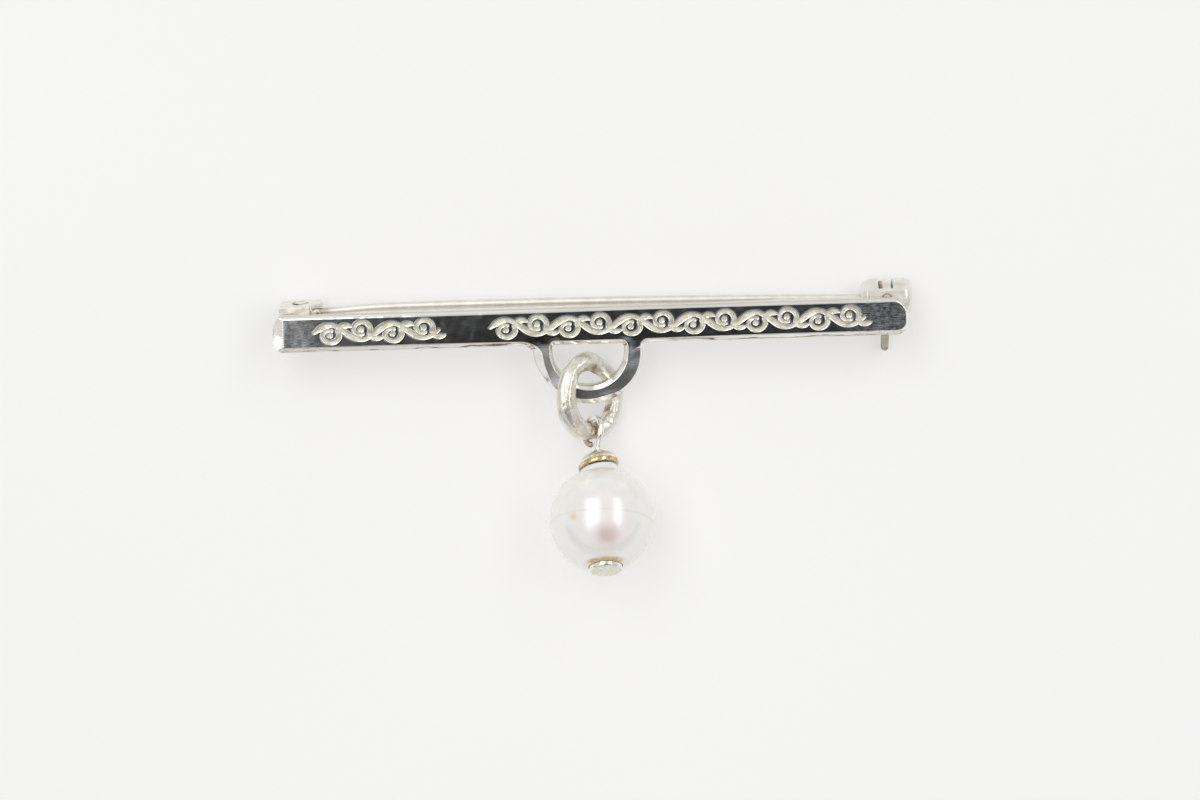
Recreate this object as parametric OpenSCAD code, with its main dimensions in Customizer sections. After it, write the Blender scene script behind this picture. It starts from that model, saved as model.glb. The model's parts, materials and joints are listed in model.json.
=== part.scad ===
// Silver bar brooch with a pearl drop, lying on its back.
// X runs along the bar, +Y points from the drop to the bar, +Z is up.
// The origin is at the middle of the footprint, on the surface.

/* [Bar] */
// Length of the bar
bar_l = 49.9; // [49.6:0.1:50]
// Height of the bar across its face
bar_h = 2.88; // [2.8:0.02:3.2]
// Thickness of the plate that the bar and its loop are cut from
bar_t = 1.4; // [1.3:0.05:1.6]
// Width of the bevel along the upper edge of the face
upper_bevel = 0.2; // [0.1:0.02:0.3]
// Width of the bevel along the lower edge of the face
lower_bevel = 0.38; // [0.2:0.02:0.45]
// Width of the bevel at the left end of the bar
left_bevel = 0.76; // [0.4:0.02:0.8]
// Width of the bevel at the right end of the bar
right_bevel = 0.3; // [0.2:0.02:0.4]
// Depth of every bevel on the front
bevel_depth = 0.2; // [0.1:0.02:0.3]
// How far the left corners are clipped along the bar
left_clip_l = 0.4; // [0.3:0.05:0.6]
// How far the left corners are clipped across the bar
left_clip_h = 0.75; // [0.5:0.05:0.9]
// How far the right corners are clipped along the bar
right_clip_l = 0.4; // [0.3:0.05:0.6]
// How far the right corners are clipped across the bar
right_clip_h = 0.5; // [0.3:0.05:0.7]
// Angle between the back of the bar and the surface it lies on
lean = 16; // [14:0.5:17]

/* [Engraving] */
// Depth of the engraved vine
engrave_depth = 0.12; // [0.05:0.01:0.2]
// Length of one wave of the vine
vine_pitch = 4.2; // [3.6:0.1:5]
// Height of the wave, from its middle line
vine_rise = 0.42; // [0.2:0.02:0.5]
// Width of the vine's line
vine_w = 0.44; // [0.3:0.02:0.5]
// Length of a leaf
leaf_l = 1.3; // [1:0.05:1.5]
// Width of a leaf
leaf_w = 0.7; // [0.5:0.02:0.76]
// Diameter of a berry
berry_d = 0.46; // [0.3:0.02:0.5]

/* [Loop] */
// Where the loop's middle sits along the bar
loop_x = -0.27; // [-0.4:0.01:-0.2]
// Depth of the round part's centre below the middle of the bar
loop_drop = 2.1; // [2:0.01:2.3]
// Inner radius of the loop
loop_in_r = 2.8; // [2.7:0.01:2.85]
// Outer radius of the loop
loop_out_r = 4.06; // [3.95:0.01:4.1]
// Radius of the fillet where the loop's right arm leaves the bar
right_fillet = 0.55; // [0.3:0.05:0.6]
// Radius of the fillet where the loop's left arm leaves the bar
left_fillet = 1.3; // [0.3:0.05:1.4]

/* [Hinge] */
// Distance of the rivet from the middle of the bar
hinge_x = -22.9; // [-23:0.1:-22]
// Length of the hinge's ears along the bar
ear_l = 3.3; // [3:0.1:3.6]
// Thickness of each ear
ear_t = 0.34; // [0.3:0.01:0.36]
// Height of the pin's line above the middle of the bar
pin_v = 1.1; // [1:0.01:1.15]
// Depth of the rivet behind the back of the bar
rivet_w = 1.9; // [1.8:0.05:2]
// Radius of the rivet's shaft
rivet_r = 0.38; // [0.3:0.01:0.4]
// Radius of the rivet's heads
rivet_head_r = 0.52; // [0.45:0.01:0.6]

/* [Pin] */
// Radius of the pin stem where it is straight and round
stem_r = 0.35; // [0.3:0.01:0.36]
// Radius of the stem where it enters the catch
stem_neck_r = 0.26; // [0.2:0.01:0.28]
// Radius of the knuckle round the rivet
knuckle_r = 0.85; // [0.7:0.05:0.9]
// Length of the knuckle along the rivet
knuckle_l = 0.94; // [0.8:0.01:1]
// Where the stem bends, from the middle of the bar
bend_x = -14; // [-16:0.5:-10]
// How far the bend lies above the straight line from rivet to catch
bow_v = 0.34; // [0.1:0.02:0.4]
// How far the bend lies behind the straight line from rivet to catch
bow_w = 0.3; // [0:0.05:0.4]
// Where the sharp tip ends, from the middle of the bar
tip_x = 24.4; // [24:0.05:24.5]

/* [Catch] */
// Distance of the catch's lever from the middle of the bar
catch_x = 23.45; // [23.4:0.05:23.5]
// Height of the catch's axis above the middle of the bar
catch_v = 1; // [0.95:0.01:1.05]
// Depth of the catch's axis behind the back of the bar
catch_w = 2.1; // [2:0.05:2.2]
// Outer radius of the catch's barrel
barrel_r = 1.5; // [1.45:0.01:1.55]
// Radius of the bore that the lever's sleeve turns in
sleeve_bore_r = 1; // [0.95:0.01:1.05]
// Width of the mouth that the stem goes in by
mouth = 1; // [0.9:0.05:1.1]
// Width of the groove that the lever's disc turns in
groove = 1.1; // [1:0.05:1.2]
// Thickness of the lever
lever_t = 0.65; // [0.6:0.01:0.7]
// Reach of the lever's tongue from the catch's axis
tongue_l = 4.27; // [4:0.01:4.4]
// Angle of the tongue forward of straight down the bar's back
tongue_forward = 5; // [4:0.5:8]
// Angle by which the tongue slants towards the hinge
tongue_slant = 3.5; // [0:0.5:4]

/* [Link] */
// Radius of the link's wire
link_wire_r = 0.69; // [0.65:0.01:0.7]
// Radius of the link's round ends, at the middle of the wire
link_bend_r = 2.45; // [2.4:0.01:2.6]
// Half the length of the link's straight sides
link_half_side = 0.37; // [0.3:0.01:0.5]
// Turn of the link about its own length
link_roll = 41; // [39:0.5:43]
// Rise of the link's length towards the bar
link_rise = 8; // [7:0.5:10]

/* [Drop] */
// Radius of the pearl
pearl_r = 4.15; // [4:0.05:4.3]
// Radius of the neck that the pearl has under its cap
neck_r = 1.55; // [1.4:0.05:1.6]
// Radius of the drill hole through the pearl
drill_r = 0.3; // [0.28:0.01:0.35]
// Radius of the head pin's wire
wire_r = 0.22; // [0.18:0.01:0.23]
// Radius of the head pin's eye, at the middle of its wire
eye_r = 1.08; // [1.06:0.01:1.12]
// Turn of the eye about the head pin
eye_turn = -54; // [-58:1:-50]
// Distance from the pearl's centre to the eye's centre
eye_s = 7.53; // [7.51:0.01:7.56]
// How far the eye sits to the side of the head pin's wire
eye_side = 0.25; // [0:0.01:0.3]
// Radius of the head pin's end disc
disc_r = 1.3; // [1.1:0.05:1.4]
// Radius of the bead cap's rim
cap_r = 1.6; // [1.5:0.05:1.7]
// Tilt of the drop, its cap lower than its disc
drop_dip = 17.6; // [17.2:0.1:17.8]
// Turn of the drop to the side
drop_yaw = 2.2; // [1.5:0.1:3]

/* [Hidden] */
$fn = 64;

silver = "silver";
dull_silver = "gainsboro";
gilt = "darkkhaki";
nacre = "ivory";

tiny = 0.05;
running = 0.04;

// Height of the bar's back middle line above the surface, which the barrel touches
back_z = catch_w * cos(lean) - catch_v * sin(lean) + barrel_r;

// The ears' upper and lower faces, and how deep they go to touch the surface too
ear_gap = knuckle_l + 0.06;
ear_top = pin_v + ear_gap / 2 + ear_t;
ear_low = pin_v - ear_gap / 2 - ear_t;
ear_d = (back_z + ear_low * sin(lean)) / cos(lean);
ear_x0 = hinge_x - 1.6;
ear_x1 = ear_x0 + ear_l;

// The barrel's domed ends, and the bore between its end walls
barrel_x0 = 21.3;
barrel_x1 = 25.45;
left_dome = 0.76;
right_dome = 0.7;
bore_x0 = 21.7;
bore_x1 = 24.75;

// The foot that joins the barrel to the bar, and how far it sinks into the barrel
foot_x0 = catch_x - 1.45;
foot_l = 2.8;
foot_h = 1.8;
foot_sink = 0.35;

// The lever's disc, its sleeve with the gap for the stem, and its tongue's thickness
lever_r = barrel_r - 0.08;
sleeve_r = sleeve_bore_r - running - 0.01;
sleeve_in_r = 0.5;
stem_way_r = sleeve_in_r + 0.12;
lever_gap = 0.8;
tongue_h = 0.55;

// Where the middle of the link and of the pearl lie, from the foot of the bar's back
link_at = [-0.17, -5.67, 2.44];
pearl_at = [0.45, -15.61, pearl_r];

// The drop's ends along its own axis, from the pearl's centre
seat_s = -3.48;
disc_s = -4.32;
disc_t = 0.8;
neck_s = 4.35;
rim_s = 4.4;
cap_top_s = 5.75;
cap_wall = 0.25;

// The footprint is centred on the origin, between the catch's barrel and the drop's disc
reach_back = catch_v * cos(lean) + catch_w * sin(lean) + barrel_r;
reach_drop = pearl_at[1] + disc_s * cos(drop_dip) * cos(drop_yaw) - disc_r * sin(drop_dip);
stand_x = -(barrel_x1 - bar_l / 2) / 2;
stand_y = -(reach_back + reach_drop) / 2;

// Puts children given in the bar's own frame in place: x along the bar, y up its face, z out of it.
module on_bar() {
    translate([stand_x, stand_y, back_z])
        rotate([lean, 0, 0])
            children();
}

// Puts children given in the drop's own frame in place: z from the pearl's centre to the eye.
module on_drop() {
    translate([stand_x, stand_y, 0] + pearl_at)
        rotate([-90 - drop_dip, 0, drop_yaw])
            children();
}

// Extrudes a flat shape, drawn along and out of the bar, between two heights of the bar's back.
module upright(low, high) {
    translate([0, high, 0])
        rotate([90, 0, 0])
            linear_extrude(high - low)
                children();
}

// A solid turned about the catch's axis, its profile drawn as [radius, distance along X].
module turned() {
    translate([0, catch_v, -catch_w])
        rotate([90, 0, 90])
            rotate_extrude()
                children();
}

// A cylinder along the catch's axis.
module along_catch(r, x0, x1) {
    translate([x0, catch_v, -catch_w])
        rotate([0, 90, 0])
            cylinder(r = r, h = x1 - x0);
}

// The bar's outline with its corners clipped, as [x, y, width of the bevel on the edge that starts here].
bar_outline = [
    [-bar_l / 2 + left_clip_l, -bar_h / 2, lower_bevel],
    [bar_l / 2 - right_clip_l, -bar_h / 2, right_bevel],
    [bar_l / 2, -bar_h / 2 + right_clip_h, right_bevel],
    [bar_l / 2, bar_h / 2 - right_clip_h, right_bevel],
    [bar_l / 2 - right_clip_l, bar_h / 2, upper_bevel],
    [-bar_l / 2 + left_clip_l, bar_h / 2, left_bevel / 2],
    [-bar_l / 2, bar_h / 2 - left_clip_h, left_bevel],
    [-bar_l / 2, -bar_h / 2 + left_clip_h, left_bevel / 2]
];

// Cuts the bevel of one straight edge, from a to b, off the front of the plate.
module edge_bevel(a, b, width) {
    run = b - a;
    translate([a[0], a[1], bar_t])
        rotate([0, 0, atan2(run[1], run[0])])
            rotate([90, 0, 90])
                translate([0, 0, -1])
                    linear_extrude(norm(run) + 2)
                        polygon([
                            [-1, -bevel_depth * (1 + width) / width],
                            [width * 2, bevel_depth],
                            [-1, bevel_depth]
                        ]);
}

module bar_plate() {
    difference() {
        linear_extrude(bar_t)
            polygon([for (p = bar_outline) [p[0], p[1]]]);
        for (i = [0 : len(bar_outline) - 1]) {
            p = bar_outline[i];
            q = bar_outline[(i + 1) % len(bar_outline)];
            edge_bevel([p[0], p[1]], [q[0], q[1]], p[2]);
        }
    }
}

// The section of the loop's band, as [distance from the loop's centre, height].
loop_in_bevel = 0.25;

module band_section() {
    polygon([
        [loop_in_r, 0],
        [loop_out_r, 0],
        [loop_out_r, bar_t - bevel_depth],
        [loop_out_r - lower_bevel, bar_t],
        [loop_in_r + loop_in_bevel, bar_t],
        [loop_in_r, bar_t - bevel_depth]
    ]);
}

// The arm on one side runs from the round part up into the bar; side is 1 or -1.
module loop_arm(side) {
    arm_h = loop_drop - bar_h / 2 + lower_bevel + 0.1;
    translate([loop_x, -loop_drop, 0])
        mirror([side < 0 ? 1 : 0, 0, 0])
            translate([0, arm_h, 0])
                rotate([90, 0, 0])
                    linear_extrude(arm_h)
                        band_section();
}

// Fills the corner between the bar and one arm of the loop with a fillet of radius r.
module arm_fillet(side, r) {
    translate([loop_x + side * loop_out_r, -bar_h / 2, 0])
        mirror([side < 0 ? 1 : 0, 0, 0])
            linear_extrude(bar_t - bevel_depth)
                difference() {
                    translate([-tiny, -r])
                        square([r + tiny, r + tiny]);
                    translate([r, -r])
                        circle(r);
                }
}

module loop() {
    translate([loop_x, -loop_drop, 0])
        rotate([0, 0, 180])
            rotate_extrude(angle = 180)
                band_section();
    loop_arm(1);
    loop_arm(-1);
    arm_fillet(1, right_fillet);
    arm_fillet(-1, left_fillet);
}

// Points of an arc about c, as many as steps and one more.
function arc(c, r, from, to, steps) =
    [for (i = [0 : steps]) c + r * [cos(from + (to - from) * i / steps), sin(from + (to - from) * i / steps)]];

// The ears are longest at the rivet and step back to the length of their back plate.
ear_round = 1.1;
ear_corner = 0.6;
ear_step = 0.8;
plate_t = 0.45;

module ear_outline() {
    polygon(concat(
        [[ear_x0, tiny]],
        arc([ear_x0 + ear_round, -ear_d + ear_round], ear_round, 180, 270, 8),
        arc([ear_x1 - ear_corner, -ear_d + ear_corner], ear_corner, 270, 360, 5),
        [[ear_x1, -rivet_w], [ear_x1 - ear_step, -ear_step], [ear_x1 - ear_step, tiny]]
    ));
}

module hinge_box() {
    difference() {
        union() {
            upright(ear_low, ear_low + ear_t)
                ear_outline();
            upright(ear_top - ear_t, ear_top)
                ear_outline();
            upright(ear_low, ear_top)
                translate([ear_x0, -plate_t])
                    square([ear_l - ear_step, plate_t + tiny]);
        }
        translate([hinge_x, ear_low - 1, -rivet_w])
            rotate([-90, 0, 0])
                cylinder(r = rivet_r + 0.02, h = ear_top - ear_low + 2);
    }
}

// The barrel's outside, rounded at both ends.
module barrel_profile() {
    polygon(concat(
        [[0, barrel_x0]],
        arc([barrel_r - left_dome, barrel_x0 + left_dome], left_dome, -90, 0, 3),
        arc([barrel_r - right_dome, barrel_x1 - right_dome], right_dome, 0, 90, 3),
        [[0, barrel_x1]]
    ));
}

// The barrel has a bore for the lever's sleeve, a groove for its disc and a mouth for the stem.
module catch_housing() {
    difference() {
        union() {
            turned()
                barrel_profile();
            translate([foot_x0, catch_v - foot_h / 2, -catch_w + barrel_r - foot_sink])
                cube([foot_l, foot_h, catch_w - barrel_r + foot_sink + tiny]);
        }
        along_catch(sleeve_bore_r, bore_x0, bore_x1);
        along_catch(stem_way_r, barrel_x0 - 1, bore_x0 + 1);
        along_catch(barrel_r, catch_x - groove / 2, catch_x + groove / 2);
        translate([barrel_x0 - 1, catch_v - mouth / 2, -catch_w - barrel_r - 1])
            cube([bore_x1 - barrel_x0 + 1, mouth, barrel_r + 1]);
    }
}

// One leaf, a pointed oval that starts at the origin and lies along +X.
// Its swell is given as [share of its length, share of its width].
module leaf() {
    swell = [[0.28, 0.8], [0.5, 1], [0.75, 0.7]];
    polygon(concat(
        [[0, 0]],
        [for (s = swell) [s[0] * leaf_l, -s[1] * leaf_w / 2]],
        [[leaf_l, 0]],
        [for (i = [len(swell) - 1 : -1 : 0]) [swell[i][0] * leaf_l, swell[i][1] * leaf_w / 2]]
    ));
}

function wave(x) = vine_rise * sin(360 * x / vine_pitch);

// Each half wave has a leaf near its start and a berry at its end, placed by shares of its length.
leaf_share = 0.12;
leaf_turn = 24;
berry_share = 0.92;
berry_off = 0.78;

// A waving line with a leaf and a berry in each hollow, over a whole number of half waves.
module vine(halves) {
    span = halves * vine_pitch / 2;
    steps = 6 * halves;
    xs = [for (i = [0 : steps]) span * i / steps];
    polygon(concat(
        [for (x = xs) [x, wave(x) + vine_w / 2]],
        [for (i = [steps : -1 : 0]) [xs[i], wave(xs[i]) - vine_w / 2]]
    ));
    for (i = [0 : halves - 1]) {
        side = i % 2 == 0 ? 1 : -1;
        root = (i + leaf_share) * vine_pitch / 2;
        translate([root, wave(root)])
            rotate(-side * leaf_turn)
                leaf();
        translate([(i + berry_share) * vine_pitch / 2, side * berry_off])
            circle(d = berry_d, $fn = 10);
    }
}

// Two groups of vine, each as [where it starts along the bar, how many half waves it has].
module engraving() {
    face_mid = (lower_bevel - upper_bevel) / 2;
    groups = [[-21.9, 5], [-7.8, 14]];
    for (g = groups)
        translate([g[0], face_mid, bar_t - engrave_depth])
            linear_extrude(1)
                vine(g[1]);
}

module bar() {
    color(silver)
        on_bar() {
            difference() {
                union() {
                    bar_plate();
                    loop();
                }
                engraving();
            }
            hinge_box();
            catch_housing();
        }
}

module hinge_rivet() {
    head = 0.12;
    slope = 0.1;
    seat = 0.01;
    color(dull_silver)
        on_bar()
            translate([hinge_x, 0, -rivet_w])
                rotate([-90, 0, 0])
                    rotate_extrude()
                        polygon([
                            [0, ear_low - head],
                            [rivet_head_r - slope, ear_low - head],
                            [rivet_head_r, ear_low - seat],
                            [rivet_r, ear_low - seat],
                            [rivet_r, ear_top + seat],
                            [rivet_head_r, ear_top + seat],
                            [rivet_head_r - slope, ear_top + head],
                            [0, ear_top + head]
                        ]);
}

// The stem's middle line: from the rivet to its bend and on to where it lies in the catch.
stem_root = [hinge_x, pin_v, -rivet_w];
stem_end = [catch_x - 0.5, catch_v, -catch_w];
bend_share = (bend_x - hinge_x) / (stem_end[0] - hinge_x);
stem_bend = stem_root + bend_share * (stem_end - stem_root) + [0, bow_v, -bow_w];

// How far the stem keeps its full radius past the bend, and how blunt its tip is
taper_start = 24;
tip_r = 0.06;

// Puts children that lie along +X from the origin on the line from a towards b.
module along(a, b) {
    run = b - a;
    translate(a)
        rotate([0, -atan2(run[2], norm([run[0], run[1]])), atan2(run[1], run[0])])
            children();
}

module pin_stem() {
    neck_at = norm(stem_end - stem_bend);
    tip_at = neck_at + tip_x - stem_end[0];
    color(dull_silver)
        on_bar()
            difference() {
                union() {
                    intersection() {
                        along(stem_root, stem_bend)
                            rotate([0, 90, 0])
                                cylinder(r = stem_r, h = norm(stem_bend - stem_root) + 1);
                        translate([bend_x - bar_l, -5, -10])
                            cube([bar_l, 10, 20]);
                    }
                    intersection() {
                        along(stem_bend, stem_end)
                            rotate([0, 90, 0])
                                translate([0, 0, -1])
                                    cylinder(r = stem_r, h = 1 + taper_start);
                        translate([bend_x, -5, -10])
                            cube([bar_l, 10, 20]);
                    }
                    along(stem_bend, stem_end)
                        rotate([0, 90, 0]) {
                            translate([0, 0, taper_start])
                                cylinder(r1 = stem_r, r2 = stem_neck_r, h = neck_at - taper_start);
                            translate([0, 0, neck_at])
                                cylinder(r1 = stem_neck_r, r2 = tip_r, h = tip_at - neck_at);
                        }
                    translate(stem_root - [0, knuckle_l / 2, 0])
                        rotate([-90, 0, 0])
                            cylinder(r = knuckle_r, h = knuckle_l);
                }
                translate(stem_root - [0, 1, 0])
                    rotate([-90, 0, 0])
                        cylinder(r = rivet_r + running, h = 2);
            }
}

module catch_lever() {
    color(dull_silver)
        on_bar()
            difference() {
                union() {
                    along_catch(sleeve_r, bore_x0 + tiny, bore_x1 - tiny);
                    along_catch(lever_r, catch_x - lever_t / 2, catch_x + lever_t / 2);
                    translate([catch_x, catch_v, -catch_w])
                        rotate([90 - tongue_forward, 0, 0])
                            rotate([0, -tongue_slant, 0])
                                translate([-lever_t / 2, 0, 0]) {
                                    translate([0, -tongue_h / 2, 0])
                                        cube([lever_t, tongue_h, tongue_l - tongue_h / 2]);
                                    translate([0, 0, tongue_l - tongue_h / 2])
                                        rotate([0, 90, 0])
                                            cylinder(r = tongue_h / 2, h = lever_t);
                                }
                }
                along_catch(sleeve_in_r, bore_x0 - 1, bore_x1 + 1);
                translate([bore_x0 - 1, catch_v - lever_gap / 2, -catch_w - barrel_r - 1])
                    cube([bore_x1 - bore_x0 + 2, lever_gap, barrel_r + 1]);
            }
}

module link() {
    color(dull_silver)
        translate([stand_x, stand_y, 0] + link_at)
            rotate([link_rise, 0, 0])
                rotate([0, link_roll, 0]) {
                    for (end = [0, 180])
                        rotate([0, 0, end])
                            translate([0, link_half_side, 0])
                                rotate_extrude(angle = 180)
                                    translate([link_bend_r, 0])
                                        circle(link_wire_r);
                    for (side = [-1, 1])
                        translate([side * link_bend_r, -link_half_side, 0])
                            rotate([-90, 0, 0])
                                cylinder(r = link_wire_r, h = 2 * link_half_side);
                }
}

// A disc with eased edges, the wire on it and the eye that the wire ends in.
module head_pin() {
    edge = 0.14;
    color(gilt)
        on_drop() {
            translate([0, 0, disc_s])
                rotate_extrude()
                    polygon([
                        [0, 0],
                        [disc_r - edge, 0],
                        [disc_r, edge],
                        [disc_r, disc_t - edge / 2],
                        [disc_r - edge / 2, disc_t],
                        [0, disc_t]
                    ]);
            translate([0, 0, disc_s])
                cylinder(r = wire_r, h = eye_s - eye_r + tiny - disc_s);
            translate([-eye_side, 0, eye_s])
                rotate([90, 0, eye_turn])
                    rotate_extrude()
                        translate([eye_r, 0])
                            circle(wire_r);
        }
}

// The cap's outside is given as [distance in from the rim, height above the rim].
module bead_cap() {
    hole_r = wire_r + tiny;
    outside = [[0, 0], [0, 0.3], [0.35, 0.75], [0.85, 1.1], [1.1, 1.35]];
    color(gilt)
        on_drop()
            rotate_extrude()
                polygon(concat(
                    [[cap_r - cap_wall, rim_s]],
                    [for (p = outside) [cap_r - p[0], rim_s + p[1]]],
                    [[hole_r, cap_top_s], [hole_r, cap_top_s - 0.4]],
                    [[cap_r - 1, rim_s + 0.8], [cap_r - 0.45, rim_s + 0.4]]
                ));
}

// A ball with a neck that the cap sits on, drilled through and with a shallow seat for the disc.
module pearl() {
    seat_r = disc_r + 0.15;
    shoulder_r = 2.3;
    shoulder_l = 0.5;
    color(nacre)
        on_drop()
            difference() {
                union() {
                    sphere(pearl_r);
                    cylinder(r = neck_r, h = neck_s);
                    translate([0, 0, sqrt(pearl_r * pearl_r - shoulder_r * shoulder_r) - tiny])
                        cylinder(r1 = shoulder_r, r2 = neck_r, h = shoulder_l);
                }
                translate([0, 0, -pearl_r])
                    cylinder(r = drill_r, h = 3 * pearl_r);
                translate([0, 0, seat_s - pearl_r])
                    cylinder(r = seat_r, h = pearl_r);
            }
}

bar();
hinge_rivet();
pin_stem();
catch_lever();
link();
head_pin();
bead_cap();
pearl();
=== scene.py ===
"""Looks of the bar brooch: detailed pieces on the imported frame, their materials, the light and the camera.

Pieces are made in millimetres in their own frames and turned into metres in the row's frame once.
The bar's frame has x along the bar, v up its face and w out of it, from the middle of its back.
The drop's frame has z from the pearl's centre to the head pin's eye.
"""
import json
from math import asin, cos, dist, hypot, pi, radians, sin, sqrt, tan

import bmesh
import bpy
import numpy as np
from mathutils import Matrix
from mathutils.kdtree import KDTree


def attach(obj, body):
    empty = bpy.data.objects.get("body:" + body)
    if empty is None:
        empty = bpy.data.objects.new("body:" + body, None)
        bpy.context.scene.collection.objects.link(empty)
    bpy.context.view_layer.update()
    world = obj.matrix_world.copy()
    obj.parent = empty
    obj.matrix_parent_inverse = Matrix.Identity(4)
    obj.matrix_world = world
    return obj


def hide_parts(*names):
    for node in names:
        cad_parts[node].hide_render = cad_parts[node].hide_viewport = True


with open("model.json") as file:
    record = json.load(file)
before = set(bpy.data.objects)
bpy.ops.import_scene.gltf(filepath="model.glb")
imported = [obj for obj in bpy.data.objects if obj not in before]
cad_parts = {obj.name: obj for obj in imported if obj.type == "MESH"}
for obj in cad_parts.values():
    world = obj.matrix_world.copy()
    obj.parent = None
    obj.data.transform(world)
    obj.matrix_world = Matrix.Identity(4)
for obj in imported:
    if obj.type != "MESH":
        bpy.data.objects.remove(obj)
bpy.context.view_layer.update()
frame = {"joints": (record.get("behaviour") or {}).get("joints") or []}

MM = 0.001
# Room between parts that turn in each other
PLAY = 0.05

# The bar, as in the solids
BAR_L = 49.9
BAR_H = 2.88
BAR_T = 1.4
HALF_L, HALF_H = BAR_L / 2, BAR_H / 2
# How wide its bevels are, and how deep
UPPER_BEVEL = 0.2
LOWER_BEVEL = 0.38
NEAR_LOOP_BEVEL = 0.32
LEFT_BEVEL = 0.78
RIGHT_BEVEL = 0.2
BEVEL_DEPTH = 0.2
# The bar's rounded corners: how far each reaches along the bar and across it
LEFT_LOW, LEFT_TOP = (0.66, 1.05), (0.8, 1.1)
RIGHT_LOW, RIGHT_TOP = (0.9, 0.95), (1.05, 1.15)
CORNER_POWER = 1.75
# The loop's centre along the bar, and how far it is under the bar's middle
LOOP_X = -0.27
LOOP_DROP = 2.1

# The hinge: its rivet's place and size, and its two ears
HINGE_X = -22.9
PIN_V = 1.1
RIVET_W = 1.9
RIVET_R = 0.38
EAR_GAP = 1.0
EAR_T = 0.34
EAR_TOP = PIN_V + EAR_GAP / 2 + EAR_T
EAR_LOW = PIN_V - EAR_GAP / 2 - EAR_T
EAR_X0 = HINGE_X - 1.6
EAR_X1 = EAR_X0 + 3.3

# The catch: its middle, its barrel and the barrel's bore
CATCH_X = 23.45
CATCH_V = 1.0
CATCH_W = 2.1
CATCH_AXIS = (0, CATCH_V, -CATCH_W)
BARREL_R = 1.5
BORE_R = 1.0
BORE_ENDS = (21.7, 24.75)

# The drop, as in the solids
PEARL_R = 4.15
WIRE_R = 0.22
EYE_R = 1.08
EYE_S = 7.53
EYE_SIDE = 0.25
EYE_TURN = radians(-54)
CAP_TILT = 0.11
DROP_DIP = radians(17.6)
DROP_YAW = radians(2.2)
LINK_ROLL = radians(41)
LINK_RISE = radians(8)
# Places from the foot of the bar's back
PEARL_AT = (0.45, -15.61, PEARL_R)
LINK_AT = (-0.17, -5.67, 2.44)

# The bar's frame comes from the pin's hinge: its axis is the bar's v
swing = next(j for j in frame["joints"] if j["name"] == "pin_swing")
along_x = np.array([1.0, 0.0, 0.0])
up_v = np.array(swing["axis"], float)
out_w = np.cross(along_x, up_v)
foot = np.array(swing["pos_m"]) / MM - HINGE_X * along_x - PIN_V * up_v + RIVET_W * out_w
EAR_DEPTH = (foot[2] + EAR_LOW * up_v[2]) / out_w[2]


def frame_matrix(turn, origin_mm):
    """The matrix from a piece's own millimetres to the row's metres; the turn's columns are its axes."""
    m = np.eye(4)
    m[:3, :3] = np.array(turn) * MM
    m[:3, 3] = np.array(origin_mm) * MM
    return m


def turned_frame(first, second, at):
    """A frame turned by two rotations of (angle, axis), with its height over the floor kept."""
    turn = Matrix.Rotation(first[0], 3, first[1]) @ Matrix.Rotation(second[0], 3, second[1])
    return frame_matrix(turn, (foot[0] + at[0], foot[1] + at[1], at[2]))


ON_BAR = frame_matrix(np.stack([along_x, up_v, out_w], 1), foot)
ON_DROP = turned_frame((DROP_YAW, "Z"), (-pi / 2 - DROP_DIP, "X"), PEARL_AT)
ON_LINK = turned_frame((LINK_RISE, "X"), (LINK_ROLL, "Y"), LINK_AT)


# Mesh helpers, where a shell is its points and its faces

def with_settings(thing, **settings):
    for key, value in settings.items():
        setattr(thing, key, value)
    return thing


def linked(name, data):
    obj = bpy.data.objects.new(name, data)
    bpy.context.scene.collection.objects.link(obj)
    return obj


def new_object(name, shell, marks=None):
    """An object from a shell; marks are numbers per point for its material."""
    points, faces = shell
    mesh = bpy.data.meshes.new(name)
    mesh.from_pydata(np.asarray(points).tolist(), [], [list(map(int, face)) for face in faces])
    for key, values in (marks or {}).items():
        values = np.asarray(values, np.float32)
        mesh.attributes.new(key, "FLOAT", "POINT").data.foreach_set("value", values)
    return linked(name, mesh)


def cleaned(obj, merge):
    """The object, with near points merged and all faces turned outwards."""
    bm = bmesh.new()
    bm.from_mesh(obj.data)
    bmesh.ops.remove_doubles(bm, verts=bm.verts, dist=merge)
    bmesh.ops.recalc_face_normals(bm, faces=bm.faces)
    bm.to_mesh(obj.data)
    bm.free()
    return obj


def piece(name, shell, place, material, node, marks, body="root"):
    """One shown piece, from a shell in its own frame."""
    points, faces = shell
    in_row = points @ place[:3, :3].T + place[:3, 3]
    obj = cleaned(new_object(name, (in_row, faces), marks), 1e-7)
    obj.data.shade_smooth()
    obj.data.materials.append(material)
    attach(obj, body)
    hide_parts(node)


def grid_faces(rows, cols, wrap_rows=False, wrap_cols=False):
    """Quads between the points of a grid that is stored row by row."""
    r = np.arange(rows if wrap_rows else rows - 1)
    c = np.arange(cols if wrap_cols else cols - 1)
    r, c = np.meshgrid(r, c, indexing="ij")
    r2, c2 = (r + 1) % rows, (c + 1) % cols
    quads = np.stack([r * cols + c, r2 * cols + c, r2 * cols + c2, r * cols + c2], -1)
    return quads.reshape(-1, 4).tolist()


def swept_sections(sections, closed_path=False):
    """Joins equal closed sections into a skin, with its two ends capped unless the path is closed."""
    sections = np.asarray(sections, float)
    rows, cols = sections.shape[:2]
    faces = grid_faces(rows, cols, wrap_rows=closed_path, wrap_cols=True)
    if not closed_path:
        faces.append(list(range(cols)))
        faces.append(list(range((rows - 1) * cols, rows * cols))[::-1])
    return sections.reshape(-1, 3), faces


def round_turn(count):
    """Equal steps of a whole turn."""
    return np.linspace(0, 2 * pi, count, endpoint=False)


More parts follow.
